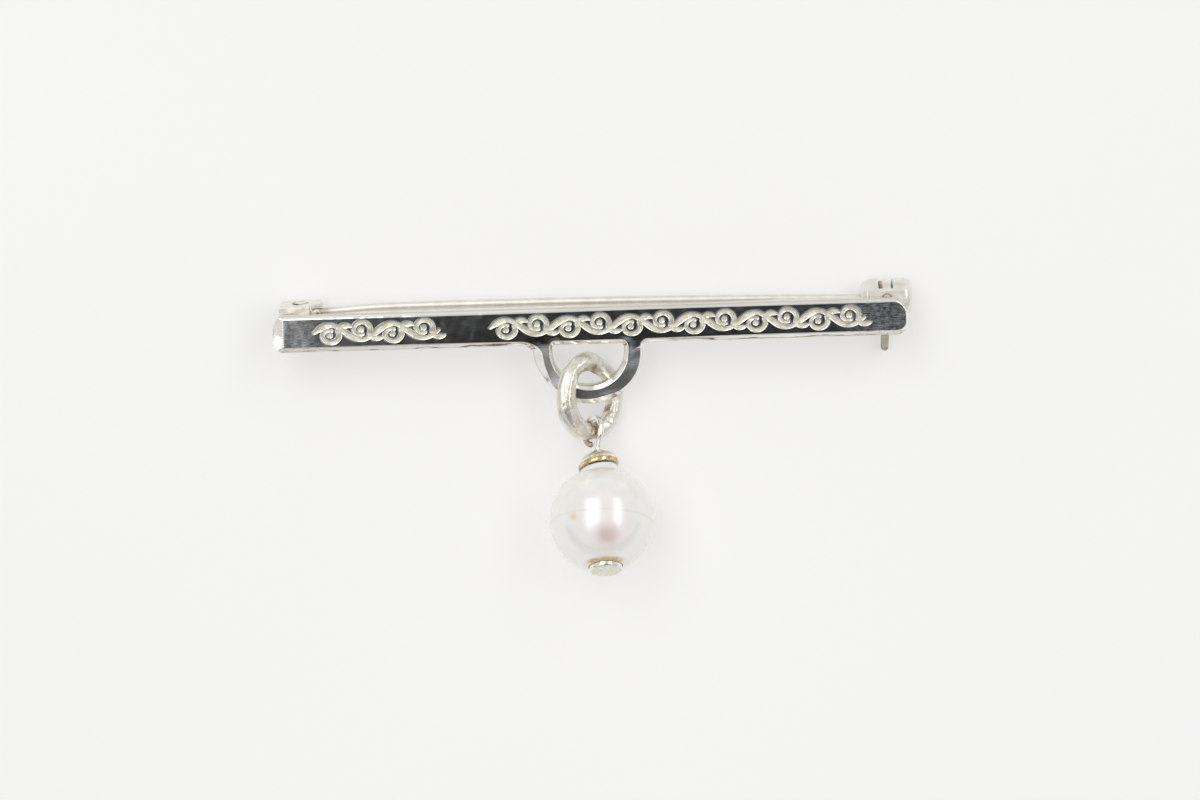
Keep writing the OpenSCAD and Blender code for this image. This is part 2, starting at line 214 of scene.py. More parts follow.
def lathe(profile, sides, closed=False):
    """Turns a profile of (radius, height) about z; points on the axis are merged later."""
    radius, height = np.asarray(profile, float).T[:, :, None]
    a = round_turn(sides)
    rings = np.stack([radius * np.cos(a), radius * np.sin(a), np.repeat(height, sides, 1)], -1)
    return rings.reshape(-1, 3), grid_faces(len(profile), sides, wrap_rows=closed, wrap_cols=True)


def cylinder(radius, low, high, sides=48):
    return lathe([(0, low), (radius, low), (radius, high), (0, high)], sides)


def box(low, high):
    points = [(x, y, z) for x in (low[0], high[0]) for y in (low[1], high[1]) for z in (low[2], high[2])]
    faces = [(0, 1, 3, 2), (4, 6, 7, 5), (0, 4, 5, 1), (2, 3, 7, 6), (0, 2, 6, 4), (1, 5, 7, 3)]
    return np.array(points, float), faces


def prism(outline, low, high):
    """Extrudes an outline of (x, w) between two heights v."""
    n = len(outline)
    points = np.array([(x, v, w) for v in (low, high) for x, w in outline], float)
    faces = [[i, (i + 1) % n, n + (i + 1) % n, n + i] for i in range(n)]
    return points, faces + [list(range(n)), list(range(n, 2 * n))]


def moved(shell, origin, axes=((1, 0, 0), (0, 1, 0), (0, 0, 1))):
    points, faces = shell
    return points @ np.array(axes, float) + np.array(origin, float), faces


def along_bar(shell):
    """Turns a shell made about z so that z is the catch's axis."""
    return moved(shell, CATCH_AXIS, ((0, 1, 0), (0, 0, 1), (1, 0, 0)))


def up_bar(shell, v=0.0):
    """Turns a shell made about z so that z is the rivet's axis, from a height on the bar's face."""
    return moved(shell, (HINGE_X, v, -RIVET_W), ((0, 0, 1), (1, 0, 0), (0, 1, 0)))


def joined(shells):
    points, faces, count = [], [], 0
    for more, more_faces in shells:
        points.append(more)
        faces += [[i + count for i in face] for face in more_faces]
        count += len(more)
    return np.concatenate(points), faces


def scratch_object(shell):
    return cleaned(new_object("scratch", shell), 1e-5)


def result_of(obj):
    """The shell of an object with its modifiers, and the object removed."""
    evaluated = obj.evaluated_get(bpy.context.evaluated_depsgraph_get())
    mesh = evaluated.to_mesh()
    points = np.empty(len(mesh.vertices) * 3)
    mesh.vertices.foreach_get("co", points)
    faces = [list(p.vertices) for p in mesh.polygons]
    evaluated.to_mesh_clear()
    bpy.data.objects.remove(obj)
    return points.reshape(-1, 3), faces


def softened(shells, cutters, voxel, passes):
    """Takes the cutters from every shell, joins what is left and rounds all edges, as tumbling does."""
    tools = [scratch_object(c) for c in cutters]
    rest = []
    for shell in shells:
        obj = scratch_object(shell)
        for tool in tools:
            cut = obj.modifiers.new("cut", "BOOLEAN")
            with_settings(cut, operation="DIFFERENCE", solver="EXACT", object=tool)
        rest.append(result_of(obj))
    for tool in tools:
        bpy.data.objects.remove(tool)
    whole = scratch_object(joined(rest))
    with_settings(whole.modifiers.new("remesh", "REMESH"), mode="VOXEL", voxel_size=voxel)
    with_settings(whole.modifiers.new("smooth", "SMOOTH"), factor=0.5, iterations=passes)
    return result_of(whole)


def ripple(x, y, size, seed):
    """A smooth uneven surface between about -1 and 1, with bumps of one size."""
    rng = np.random.default_rng(seed)
    total = np.zeros(np.broadcast(x, y).shape)
    waves = 14
    for _ in range(waves):
        turn = rng.uniform(0, 2 * pi)
        stretch = rng.uniform(0.6, 1.5) * 2 * pi / size
        phase = rng.uniform(0, 2 * pi)
        total = total + np.sin(stretch * (cos(turn) * x + sin(turn) * y) + phase)
    return total / sqrt(waves)


def step(t):
    """0 below 0, 1 above 1 and a smooth rise between them."""
    t = np.clip(t, 0, 1)
    return t * t * (3 - 2 * t)


def bell(away, width):
    """1 in the middle, falling off smoothly to both sides."""
    return np.exp(-((away / width) ** 2))


def table_value(table, at):
    """Reads a table of (place, value) at one or many places, with straight runs between its rows."""
    return np.interp(at, *np.array(table).T)


# The bar and its loop

# The loop's edges, measured from its centre: (degrees round from +x, radius)
LOOP_OUTER = [
    (180, 4.3), (187, 4.27), (208, 4.02), (231, 4.07), (262, 4.1), (287, 4.16),
    (306, 4.24), (330, 4.2), (353, 4.24), (360, 4.28),
]
LOOP_FACE_END = [
    (180, 3.66), (188, 3.56), (207, 3.6), (221, 3.88), (245, 3.86), (262, 3.77),
    (289, 3.66), (309, 3.96), (330, 4.1), (353, 4.12), (360, 4.12),
]
LOOP_INNER = [(180, 2.84), (218, 2.79), (270, 2.72), (320, 2.8), (360, 2.84)]
# The bevel inside the loop: (degrees round from +x, width)
LOOP_INNER_BEVEL = [(180, 0.2), (225, 0.18), (270, 0.3), (320, 0.3), (360, 0.32)]
# The fillets where the loop leaves the bar: (sideways, down)
LEFT_FILLET = (1.15, 0.7)
RIGHT_FILLET = (0.5, 0.45)
INNER_FILLET = (0.3, 0.32)
# The angles at which its round part is traced
ROUND = np.linspace(180, 360, 700)


def smooth_table(table, at, spread=5.0):
    """A table's value, averaged over a few degrees so that no corner shows."""
    offsets = np.linspace(-spread, spread, 7)
    return np.mean([table_value(table, np.clip(at + o, 180, 360)) for o in offsets], 0)


def flare(below, fillet):
    """How far a fillet reaches sideways at a depth below the bar's edge."""
    across, down = fillet
    t = np.clip(1 - np.maximum(below, 0) / down, 0, 1)
    return across * (1 - np.sqrt(1 - t * t))


def corner_drop(share):
    """How much of a corner's reach across the bar is gone, at a share of its reach along it."""
    share = np.clip(share, 0, 1)
    return 1 - (1 - (1 - share) ** CORNER_POWER) ** (1 / CORNER_POWER)


def edges_at(x):
    """The bar's lower and upper edge at places along it."""
    low, top = -HALF_H, HALF_H
    for from_end, at_low, at_top in ((HALF_L + x, LEFT_LOW, LEFT_TOP), (HALF_L - x, RIGHT_LOW, RIGHT_TOP)):
        low = low + at_low[1] * corner_drop(from_end / at_low[0])
        top = top - at_top[1] * corner_drop(from_end / at_top[0])
    return low, top


def straight_run(a, b, width_a, width_b):
    """Points 0.02 mm apart from a to b, each with the bevel's width there."""
    t = np.linspace(0, 1, max(2, int(dist(a, b) / 0.02)))[:, None]
    ends = np.array([[*a, width_a], [*b, width_b]])
    return ends[:1] + t * (ends[1:] - ends[:1])


def fillet_run(side, radius, fillet, width_top, width_arm):
    """Where an arm of the loop leaves the bar."""
    t = np.linspace(0, 1, 60) ** 2
    below = t * fillet[1]
    x = LOOP_X + side * (radius + flare(below, fillet))
    return np.stack([x, -HALF_H - below, width_top + (width_arm - width_top) * step(t)], -1)


def corner_run(v_edge, reach, from_width):
    """The right end's rounded corner at its upper or lower edge."""
    turn = np.radians(np.linspace(1, 90, 60))
    x = HALF_L - reach[0] * (1 - np.sin(turn) ** (2 / CORNER_POWER))
    v = v_edge - np.sign(v_edge) * reach[1] * (1 - np.cos(turn) ** (2 / CORNER_POWER))
    return np.stack([x, v, from_width + (RIGHT_BEVEL - from_width) * step(turn / turn[-1])], -1)


def round_run(radius, widths):
    """The round part of the loop, from its radii and the bevel's widths at the angles in ROUND."""
    turn = np.radians(ROUND)
    return np.stack([LOOP_X + radius * np.cos(turn), -LOOP_DROP + radius * np.sin(turn), widths], -1)


def outer_runs():
    """The bevelled outline of the bar and the loop's outside, all but the left end."""
    past = 0.5
    left_arm, right_arm = LOOP_OUTER[0][1], LOOP_OUTER[-1][1]
    left_x, right_x = LOOP_X - left_arm - LEFT_FILLET[0], LOOP_X + right_arm + RIGHT_FILLET[0]
    # The straight edges: (x, bevel's width)
    top = [(-HALF_L - past, UPPER_BEVEL), (-22, UPPER_BEVEL + 0.03), (-10, UPPER_BEVEL + 0.05)]
    top += [(8, UPPER_BEVEL - 0.03), (HALF_L - RIGHT_TOP[0], UPPER_BEVEL)]
    low_left = [(-HALF_L - past, LOWER_BEVEL), (-14, LOWER_BEVEL + 0.03), (left_x, NEAR_LOOP_BEVEL + 0.02)]
    low_right = [(right_x, NEAR_LOOP_BEVEL), (14, LOWER_BEVEL + 0.02), (HALF_L - RIGHT_LOW[0], LOWER_BEVEL)]
    runs = []
    for v, table in ((HALF_H, top), (-HALF_H, low_left), (-HALF_H, low_right)):
        runs += [straight_run((a[0], v), (b[0], v), a[1], b[1]) for a, b in zip(table, table[1:])]
    right_low, right_top = (HALF_L, RIGHT_LOW[1] - HALF_H), (HALF_L, HALF_H - RIGHT_TOP[1])
    radius = smooth_table(LOOP_OUTER, ROUND)
    return runs + [
        corner_run(-HALF_H, RIGHT_LOW, LOWER_BEVEL),
        corner_run(HALF_H, RIGHT_TOP, UPPER_BEVEL),
        straight_run(right_low, right_top, RIGHT_BEVEL, RIGHT_BEVEL),
        fillet_run(-1, left_arm, LEFT_FILLET, NEAR_LOOP_BEVEL + 0.02, left_arm - LOOP_FACE_END[0][1]),
        fillet_run(1, right_arm, RIGHT_FILLET, NEAR_LOOP_BEVEL, right_arm - LOOP_FACE_END[-1][1]),
        round_run(radius, radius - smooth_table(LOOP_FACE_END, ROUND)),
    ]


def hole_runs():
    """The bevelled edge of the loop's hole."""
    inner = LOOP_INNER[0][1]
    across, down = INNER_FILLET
    ends = [(LOOP_X - inner + across, -HALF_H), (LOOP_X + inner - across, -HALF_H)]
    runs = [straight_run(*ends, NEAR_LOOP_BEVEL, NEAR_LOOP_BEVEL)]
    for side, width in ((-1, LOOP_INNER_BEVEL[0][1]), (1, LOOP_INNER_BEVEL[-1][1])):
        x = LOOP_X + side * inner
        runs.append(fillet_run(side, inner, (-across, down), NEAR_LOOP_BEVEL, width))
        runs.append(straight_run((x, -HALF_H - down), (x, -LOOP_DROP), width, width))
    runs.append(round_run(smooth_table(LOOP_INNER, ROUND), smooth_table(LOOP_INNER_BEVEL, ROUND)))
    return runs


def bevel_share(runs):
    """A function that gives, for places on the front, how far up the bevel beside these runs they are."""
    points = np.concatenate(runs)
    ahead = np.concatenate([np.gradient(run[:, :2], axis=0) for run in runs])
    ahead /= np.maximum(np.linalg.norm(ahead, axis=1), 1e-9)[:, None]
    normals = np.stack([-ahead[:, 1], ahead[:, 0]], -1)
    tree = KDTree(len(points))
    for i, (x, v, _) in enumerate(points):
        tree.insert((x, v, 0.0), i)
    tree.balance()

    def share(x, v):
        flat = np.stack([np.ravel(x), np.ravel(v)], -1)
        index = np.array([tree.find((a, b, 0.0))[1] for a, b in flat.tolist()])
        away = flat - points[index, :2]
        straight_off = np.abs((away * normals[index]).sum(1))
        sideways = np.abs(away[:, 0] * normals[index, 1] - away[:, 1] * normals[index, 0])
        distance = np.where(sideways < 0.03, straight_off, np.hypot(straight_off, sideways))
        return (1 - distance / points[index, 2]).reshape(np.shape(x))

    return share


def bevel_finder():
    """A function that gives, for places on the front, how far the bevels have dropped, from 0 to 1."""
    outer, hole = bevel_share(outer_runs()), bevel_share(hole_runs())
    crease = 0.05

    def drop(x, v):
        left_end = 1 - (x + HALF_L) / LEFT_BEVEL
        t = np.maximum(np.maximum(outer(x, v), hole(x, v)), left_end)
        return np.minimum((t + np.sqrt(t * t + crease * crease)) / 2, 1.0)

    return drop


def hand_wave(x, v):
    """The uneven surface that filing and polishing by hand leave, stronger on the loop and its roots."""
    near_arm = bell(np.abs(x - LOOP_X) - 3.3, 1.0) * bell(np.maximum(0, v + 1.4), 0.6)
    rough = np.maximum(near_arm, step((-1.2 - v) / 0.9))
    soft = 0.0035 * ripple(x, v, 3.2, 1) + 0.0014 * ripple(x, v, 1.1, 2)
    # The loop was soldered on a little askew: its right arm leans back
    lean = 0.08 * step((-1.4 - v) / 1.2) * (x - LOOP_X) / 4 * step((x - LOOP_X) / 2)
    return soft + rough * (0.042 * ripple(x, v, 2.9, 11) - 0.05) - lean


def satin_share(x, v):
    """How much of the loop's duller polish shows, more on its left arm than on its right."""
    left = step((LOOP_X - 1.5 - x) / 1.5)
    return step((-1.3 - v) / 0.8) * (0.36 + 0.36 * left)


# The ornament: a running scroll in two groups, each as (where it starts, how many half waves it has)
SCROLL_GROUPS = ((-21.7, 4), (-7.9, 12))
SCROLL_PITCH, SCROLL_RISE = 4.9, 0.6
SCROLL_MIDDLE = (LOWER_BEVEL - UPPER_BEVEL) / 2 - 0.02
STEM_HALF, SPIRAL_HALF, BERRY_R, LEAF_HALF = 0.175, 0.155, 0.2, 0.16
LEAF_L = 0.98


def scroll_stem(start, halves):
    length = halves * SCROLL_PITCH / 2
    t = np.arange(0, length, 0.03)
    taper = step(t / 0.6) * step((length - t) / 0.6) * 0.6 + 0.4
    swell = 1 + 0.22 * np.sin(4 * pi * t / SCROLL_PITCH + 0.6)
    v = SCROLL_MIDDLE + SCROLL_RISE * np.sin(2 * pi * t / SCROLL_PITCH)
    return np.stack([start + t, v, STEM_HALF * swell * taper], -1)


def scroll_curl(x, side):
    """The spiral, its berry and its leaf in one hollow of the stem, which lies above or below the middle."""
    v = SCROLL_MIDDLE - side * 0.2
    s = np.linspace(0, 1, 90)
    angle = side * np.radians(28 - 318 * s)
    reach = 0.71 - 0.33 * s
    spiral = [x + 1.12 * reach * np.cos(angle), v + reach * np.sin(angle), SPIRAL_HALF * (1.1 - 0.45 * s)]
    s = np.linspace(0, 1, 40)
    turn = side * np.radians(38 - 34 * s)
    width = LEAF_HALF * np.sin(pi * (0.08 + 0.9 * s)) ** 0.8 + 0.02
    leaf_v = SCROLL_MIDDLE + side * 0.36 + LEAF_L * s * np.sin(turn)
    leaf = [x + 0.72 + LEAF_L * s * np.cos(turn), leaf_v, width]
    return [np.stack(spiral, -1), np.array([[x, v, BERRY_R]]), np.stack(leaf, -1)]


def scroll_strokes():
    """The running scroll as strokes, each a row of (x, v, half width)."""
    strokes = []
    for start, halves in SCROLL_GROUPS:
        strokes.append(scroll_stem(start, halves))
        for i in range(halves):
            strokes += scroll_curl(start + (i + 0.5) * SCROLL_PITCH / 2, 1 if i % 2 == 0 else -1)
    return strokes


def engraving(x, v):
    """For every point of the face: how deep inside a stroke it is, and how far across that stroke."""
    inside, across = np.full(x.shape, -1.0), np.ones(x.shape)
    margin = 0.2
    for sx, sv, half in np.concatenate(scroll_strokes()):
        lo, hi = np.searchsorted(x[:, 0], (sx - half - margin, sx + half + margin))
        away = np.hypot(x[lo:hi] - sx, v[lo:hi] - sv)
        better = half - away > inside[lo:hi]
        inside[lo:hi] = np.where(better, half - away, inside[lo:hi])
        across[lo:hi] = np.where(better, away / half, across[lo:hi])
    return inside, across


def bar_plate(material, bevel_drop):
    """The bar: sections along x, with hand-filed bevels and the engraved face."""
    fine, near_end = 0.025, 1.2
    xs = np.concatenate([
        np.arange(-HALF_L, -HALF_L + near_end, fine),
        np.arange(-HALF_L + near_end, HALF_L - near_end, 2 * fine),
        np.arange(HALF_L - near_end, HALF_L + 0.001, fine),
    ])
    xs[-1] = HALF_L
    low, top = edges_at(xs)
    # Rows across the face, close together at both edges
    shares = [0, 0.006, 0.02, 0.04, 0.065, *np.linspace(0.09, 0.93, 48), 0.95, 0.97, 0.985, 0.995, 1]
    v = low[:, None] + (top - low)[:, None] * np.array(shares)
    x = np.repeat(xs[:, None], v.shape[1], 1)
    drop = bevel_drop(x, v)

    inside, across = engraving(x, v)
    depth = 0.13 * step(inside / 0.07) * (0.55 + 0.45 * (1 - across**2))
    depth = depth - 0.03 * bell(across, 0.25) * step(inside / 0.07)
    burr = 0.012 * bell(inside + 0.03, 0.03) * (inside < 0.02)
    chatter = 0.006 * ripple(x, v, 0.16, 8) * step(inside / 0.05)
    # The left end's facet is filed with a twist
    twist = 0.07 * v * np.clip(1 - (x + HALF_L) / LEFT_BEVEL, 0, 1)
    w = BAR_T - BEVEL_DEPTH * drop - twist - depth + burr + chatter + hand_wave(x, v)

    # Over the loop's arms the lowest rows sink a little, so that the loop's own front shows there
    over_arm = step((0.5 - drop[:, :1]) / 0.3)
    w = w - 0.008 * over_arm * np.clip(1 - (v - low[:, None]) / 0.2, 0, 1)

    # Round each section from the face: both sides with rounded edges, and the flat back
    soft, back = 0.06, 0 * xs
    v_low, v_top = v[:, 0] - soft / 4, v[:, -1] + soft / 4
    v_span = 0.3 * (v_top - v_low)
    before = [(v_low + soft, back), (v_low, back + soft), (v_low, w[:, 0] - soft / 2)]
    after = [(v_top, w[:, -1] - soft / 2), (v_top, back + soft), (v_top - soft, back)]
    after += [(v_top - v_span, back), (v_low + v_span, back)]
    columns = np.array(before + list(zip(v.T, w.T)) + after).transpose(2, 0, 1)
    sections = np.concatenate([np.repeat(xs[:, None, None], columns.shape[1], 1), columns], -1)
    # A last, slightly smaller section at each end rounds the end's edge
    caps = sections[[0, -1]] * [1, 0.985, 1]
    caps[:, :, 2] = BAR_T / 2 + (sections[[0, -1], :, 2] - BAR_T / 2) * 0.95
    caps[:, :, 0] += [[-soft / 4], [soft / 4]]
    sections = np.concatenate([caps[:1], sections, caps[1:]])

    def spread(values, rest):
        whole = np.full(sections.shape[:2], rest)
        whole[1:-1, len(before):-len(after)] = values
        return whole.reshape(-1)

    marks = {
        "cut": spread(step((inside + 0.01) / 0.05), 0.0),
        "across": spread(np.where(inside > -0.05, across, 1.0), 1.0),
        "rim": spread(drop, 1.0),
        "worn": spread(step((np.abs(x + 0.4) - 19) / 3.5), 0.0),
        "satin": spread(satin_share(x, v), 0.0),
    }
    piece("engraved_bar", swept_sections(sections), ON_BAR, material, "bar", marks)


def loop_band(material, bevel_drop):
    """The flat loop: sections round the U, with its widest bevel outside its left arm."""
    overlap = 0.25
    arm_steps = np.linspace(LOOP_DROP - HALF_H + overlap, 0, 32)[:-1]
    arc = np.linspace(180, 360, 181)
    degrees = np.concatenate([0 * arm_steps + 180, arc, 0 * arm_steps + 360])
    lift = np.concatenate([arm_steps, 0 * arc, arm_steps[::-1]])
    below = LOOP_DROP - lift - HALF_H
    on_arm = lift > 0
    outer_flare = np.where(degrees < 270, flare(below, LEFT_FILLET), flare(below, RIGHT_FILLET))
    r_in = smooth_table(LOOP_INNER, degrees) - flare(below, INNER_FILLET) * on_arm
    r_out = smooth_table(LOOP_OUTER, degrees) + outer_flare * on_arm

    # The columns of every section: its front, then its two sides and its back, each with its own height
    soft = 0.012
    shares = [0, 0.01, 0.03, *np.linspace(0.055, 0.945, 40), 0.97, 0.99, 1]
    columns = [(r_in + 0.05, "back"), (r_in - soft, "foot"), (r_in - soft, "edge")]
    columns += [(r_in + share * (r_out - r_in), "front") for share in shares]
    columns += [(r_out + soft, "edge"), (r_out + soft, "foot"), (r_out - 0.05, "back")]
    columns += [((r_in + r_out) / 2, "back")]

    turn = np.radians(degrees)
    radius = np.stack([c[0] for c in columns], 1)
    x = LOOP_X + radius * np.cos(turn)[:, None]
    v = -LOOP_DROP + lift[:, None] + radius * np.sin(turn)[:, None]
    drop = bevel_drop(x, v)
    sink = 0.03 * np.maximum(0, -below - 0.12)[:, None]
    front = BAR_T - BEVEL_DEPTH * drop + hand_wave(x, v) - sink
    heights = {"front": front, "edge": front - 0.03, "foot": 0 * front + 0.06, "back": 0 * front}
    w = np.stack([heights[kind][:, i] for i, (_, kind) in enumerate(columns)], 1)
    marks = {"across": 1 + 0 * x, "rim": drop, "worn": 0.4 + 0 * x, "satin": satin_share(x, v)}
    marks = {key: values.reshape(-1) for key, values in marks.items()}
    shell = swept_sections(np.stack([x, v, w], -1))
    piece("loop_band", shell, ON_BAR, material, "bar", marks)


# The hinge and the pin

def arc_points(centre, radius, start, end, count):
    turn = np.radians(np.linspace(start, end, count))
    return list(zip(centre[0] + radius * np.cos(turn), centre[1] + radius * np.sin(turn)))


def hinge_box(material):
    """Two ears and their back plate, with a shallow seat round each end of the rivet."""
    left_r, right_r, seat_r = 1.1, 0.6, 0.62
    sunk, wall, plate_x = 0.05, -0.45, EAR_X1 - 0.8
    outline = [(EAR_X0, sunk)]
    outline += arc_points((EAR_X0 + left_r, left_r - EAR_DEPTH), left_r, 180, 270, 12)
    outline += arc_points((EAR_X1 - right_r, right_r - EAR_DEPTH), right_r, 270, 360, 8)
    outline += [(EAR_X1, -RIVET_W), (EAR_X1 - 0.75, -0.8), (plate_x, sunk)]
    shells = [
        prism(outline, EAR_LOW, EAR_LOW + EAR_T),
        prism(outline, EAR_TOP - EAR_T, EAR_TOP),
        box((EAR_X0, EAR_LOW, wall), (plate_x, EAR_TOP, sunk)),
        # The solder at the plate's right end
        box((EAR_X1 - 0.9, EAR_LOW + 0.2, wall), (EAR_X1 - 0.05, HALF_H + 0.24, 0.03)),
    ]
    cutters = [
        up_bar(cylinder(RIVET_R + PLAY, -1, 3), EAR_LOW - 0.5),
        up_bar(cylinder(seat_r, 0, 1), EAR_TOP - 0.09),
        up_bar(cylinder(seat_r, -1, 0), EAR_LOW + 0.06),
    ]
    points, faces = softened(shells, cutters, voxel=0.045, passes=9)
    x, v, w = points.T
    v += 0.03 * ripple(x, w, 1.3, 21) * (v > PIN_V)
    w += 0.016 * ripple(x, v, 1.3, 23) * (w > -0.3) * (v > HALF_H)
    # Painted shade in the rivet's seats and in the gap between the ears; the crust on the solder is real
    in_seat = step((seat_r + 0.09 - np.hypot(x - HINGE_X, w + RIVET_W)) / 0.08)
    in_gap = step((EAR_GAP / 2 + 0.1 - np.abs(v - PIN_V)) / 0.1)
    on_solder = step((x - EAR_X1 + 1.0) / 0.15) * (w > -0.7)
    crust = on_solder * np.clip(0.5 + 0.4 * ripple(x, v, 0.3, 22), 0, 1)
    marks = {"dirt_and_shade": np.maximum.reduce([in_seat, 0.16 * in_gap, crust])}
    piece("hinge_box", (points, faces), ON_BAR, material, "bar", marks)


def rivet(material):
    """The rivet, its upper head set a little askew in the ear."""
    head, low, top, askew = 0.5, EAR_LOW - 0.1, EAR_TOP + 0.09, 0.12
    profile = [(0, low), (head - 0.14, low), (head - 0.03, low + 0.04), (head, low + 0.1)]
    profile += [(RIVET_R, low + 0.15), (RIVET_R, top - 0.15), (head, top - 0.12)]
    profile += [(head - 0.03, top - 0.05), (head - 0.15, top), (0, top + 0.02)]
    points, faces = up_bar(lathe(profile, 48))
    _, v, w = points.T
    v += step((v - EAR_TOP + 0.1) / 0.08) * askew * (w + RIVET_W)
    # Painted shade: darker in its middle, where it runs between the ears
    marks = {"dirt_and_shade": 0.6 * step(0.4 - np.abs(v - PIN_V))}
    piece("rivet", (points, faces), ON_BAR, material, "hinge_rivet", marks)


# The stem's middle line: (x, v, w)
STEM_LINE = [
    (HINGE_X, PIN_V, -RIVET_W), (-21.6, 1.15, -1.93), (-19.4, 1.27, -2.02), (-16.6, 1.4, -2.14),
    (-12, 1.42, -2.22), (-6, 1.4, -2.26), (0, 1.36, -2.28), (6, 1.28, -2.26), (13, 1.17, -2.2),
    (19, 1.06, -2.13), (24.4, 0.99, -2.08),
]
# Its thickness: (x, radius)
STEM_RADII = [
    (HINGE_X, 0.33), (-20, 0.34), (-18, 0.35), (10, 0.35), (19, 0.3), (22.9, 0.26), (23.6, 0.17),
    (24.2, 0.08), (24.4, 0.02),
]


def smooth_line(points, count):
    """A Catmull-Rom line through points, at equal steps of its first coordinate's share."""
    p = np.array(points, float)
    p = np.vstack([2 * p[0] - p[1], p, 2 * p[-1] - p[-2]])
    spans = len(p) - 3
    t = np.linspace(0, spans, count)
    i = np.minimum(t.astype(int), spans - 1)
    u = (t - i)[:, None]
    a, b, c, d = p[i], p[i + 1], p[i + 2], p[i + 3]
    return 0.5 * (2 * b + (c - a) * u + (2 * a - 5 * b + 4 * c - d) * u**2 + (3 * b - a - 3 * c + d) * u**3)


def tube(path, radii, sides):
    """A round tube along an open path in space, with a radius for every point of the path."""
    ahead = np.gradient(path, axis=0)
    ahead /= np.linalg.norm(ahead, axis=1)[:, None]
    normal = np.cross(ahead[0], (0.0, 1.0, 0.1))
    turn = round_turn(sides)[:, None]
    sections = []
    for middle, forward, radius in zip(path, ahead, radii):
        normal = normal - forward * (normal @ forward)
        normal /= np.linalg.norm(normal)
        round_it = np.cos(turn) * normal + np.sin(turn) * np.cross(forward, normal)
        sections.append(middle + radius * round_it)
    return swept_sections(sections)


def pin_stem(material):
    """The bowed pin with its knuckle and its ground tip."""
    path = smooth_line(STEM_LINE, 260)
    radii = table_value(STEM_RADII, path[:, 0]) + 0.004 * ripple(path[:, 0], 0 * path[:, 0], 2.5, 31)
    outside_knuckle = path[:, 0] > HINGE_X + 0.6
    stem = tube(path[outside_knuckle], radii[outside_knuckle], 28)
    outer, bore, half = 0.85, RIVET_R + PLAY, 0.47
    ring = [(bore, 0.06 - half), (bore + 0.06, -half), (outer - 0.08, -half), (outer, 0.1 - half)]
    ring += [(outer, half - 0.1), (outer - 0.08, half), (bore + 0.06, half), (bore, half - 0.06)]
    shell = joined([stem, up_bar(lathe(ring, 48, closed=True), PIN_V)])
    x, v, _ = shell[0].T
    # Painted shade: darker near the hinge and on its lower side
    marks = {"dirt_and_shade": np.clip(0.5 * step((-19.9 - x) / 1.2) + 0.25 * step((1.3 - v) / 0.5), 0, 1)}
    piece("pin", shell, ON_BAR, material, "pin_stem", marks, body="pin")


# The catch

# The groove in which the lever turns
GROOVE_X0, GROOVE_X1 = CATCH_X - 0.67, CATCH_X + 0.44
LEVER_HALF_T = 0.315


def catch_barrel(material):
    """The catch: a domed barrel cut by the groove and the mouth, on its foot."""
    x0, x1 = 21.3, 25.45
    profile = [(0, x0), (0.55, x0 + 0.01), (0.9, x0 + 0.09), (1.18, x0 + 0.26), (1.38, x0 + 0.52)]
    profile += [(1.47, x0 + 0.78), (BARREL_R, x0 + 1.0), (BARREL_R, x1 - 0.72), (1.46, x1 - 0.45)]
    profile += [(1.34, x1 - 0.24), (1.1, x1 - 0.09), (0.8, x1 - 0.02), (0, x1)]
    foot_block = box((CATCH_X - 1.45, CATCH_V - 0.9, 1.15 - CATCH_W), (CATCH_X + 1.35, CATCH_V + 0.9, 0.05))
    arch_x, arch_v, arch_r = CATCH_X - 0.1, HALF_H - 0.3, 0.5
    mouth_half, entry_r, gap = 0.5, 0.6, 0.02
    cutters = [
        along_bar(cylinder(BORE_R, *BORE_ENDS)),
        moved(cylinder(arch_r, -0.065, 0.3), (arch_x, arch_v, 0.05)),
        along_bar(cylinder(entry_r, x0 - 1, 22)),
        along_bar(cylinder(BARREL_R + gap, GROOVE_X0, GROOVE_X1)),
        box((x0 - 1, CATCH_V - mouth_half, -CATCH_W - 2.5), (BORE_ENDS[1], CATCH_V + mouth_half, -CATCH_W)),
    ]
    points, faces = softened([along_bar(lathe(profile, 72)), foot_block], cutters, voxel=0.05, passes=3)
    x, v, w = points.T
    v += 0.02 * ripple(x, w, 1.1, 41) * (v > CATCH_V)
    off_axis = np.hypot(v - CATCH_V, w + CATCH_W)
    # Painted shade: darker in the groove, in the bore and along the edge of the arch cut
    in_groove = step((0.58 - np.abs(x - CATCH_X + 0.12)) / 0.05) * step((1.47 - off_axis) / 0.06)
    in_bore = step((BORE_R + 0.1 - off_axis) / 0.08) * (x > BORE_ENDS[0] - 0.04) * (x < BORE_ENDS[1] + 0.05)
    off_arch = np.abs(np.hypot(x - arch_x, v - arch_v) - arch_r + 0.02)
    arch_line = step((0.1 - off_arch) / 0.06) * (w > -0.3)
    marks = {"dirt_and_shade": np.maximum.reduce([in_groove, in_bore, 0.35 * arch_line])}
    piece("catch_barrel", (points, faces), ON_BAR, material, "bar", marks)


def lever_tongue():
    """The lever's tongue: flattened, slanting to the hinge side, and rounded at its end."""
    forward, slant, length, half_h = radians(5), radians(3.5), 4.27, 0.275
    down = np.array([-sin(slant), -cos(forward) * cos(slant), sin(forward)])
    side = np.array([cos(slant), -sin(slant), 0.0])
    out = np.cross(side, down)
    corners = [(-1, -0.6), (-0.75, -1), (0.75, -1), (1, -0.6), (1, 0.6), (0.75, 1), (-0.75, 1), (-1, 0.6)]
    sections = []
    for share in np.linspace(0.2, 1, 24):
        rounding = sqrt(max(0.0, 1 - max(0.0, (share - 0.93) / 0.075) ** 2))
        width = (LEVER_HALF_T - 0.02 * share) * rounding + 0.01
        depth = half_h * (0.4 + 0.6 * rounding)
        middle = np.array([CATCH_X, CATCH_V, -CATCH_W]) + down * share * length
        sections.append([middle + side * a * width + out * b * depth for a, b in corners])
    return swept_sections(sections)


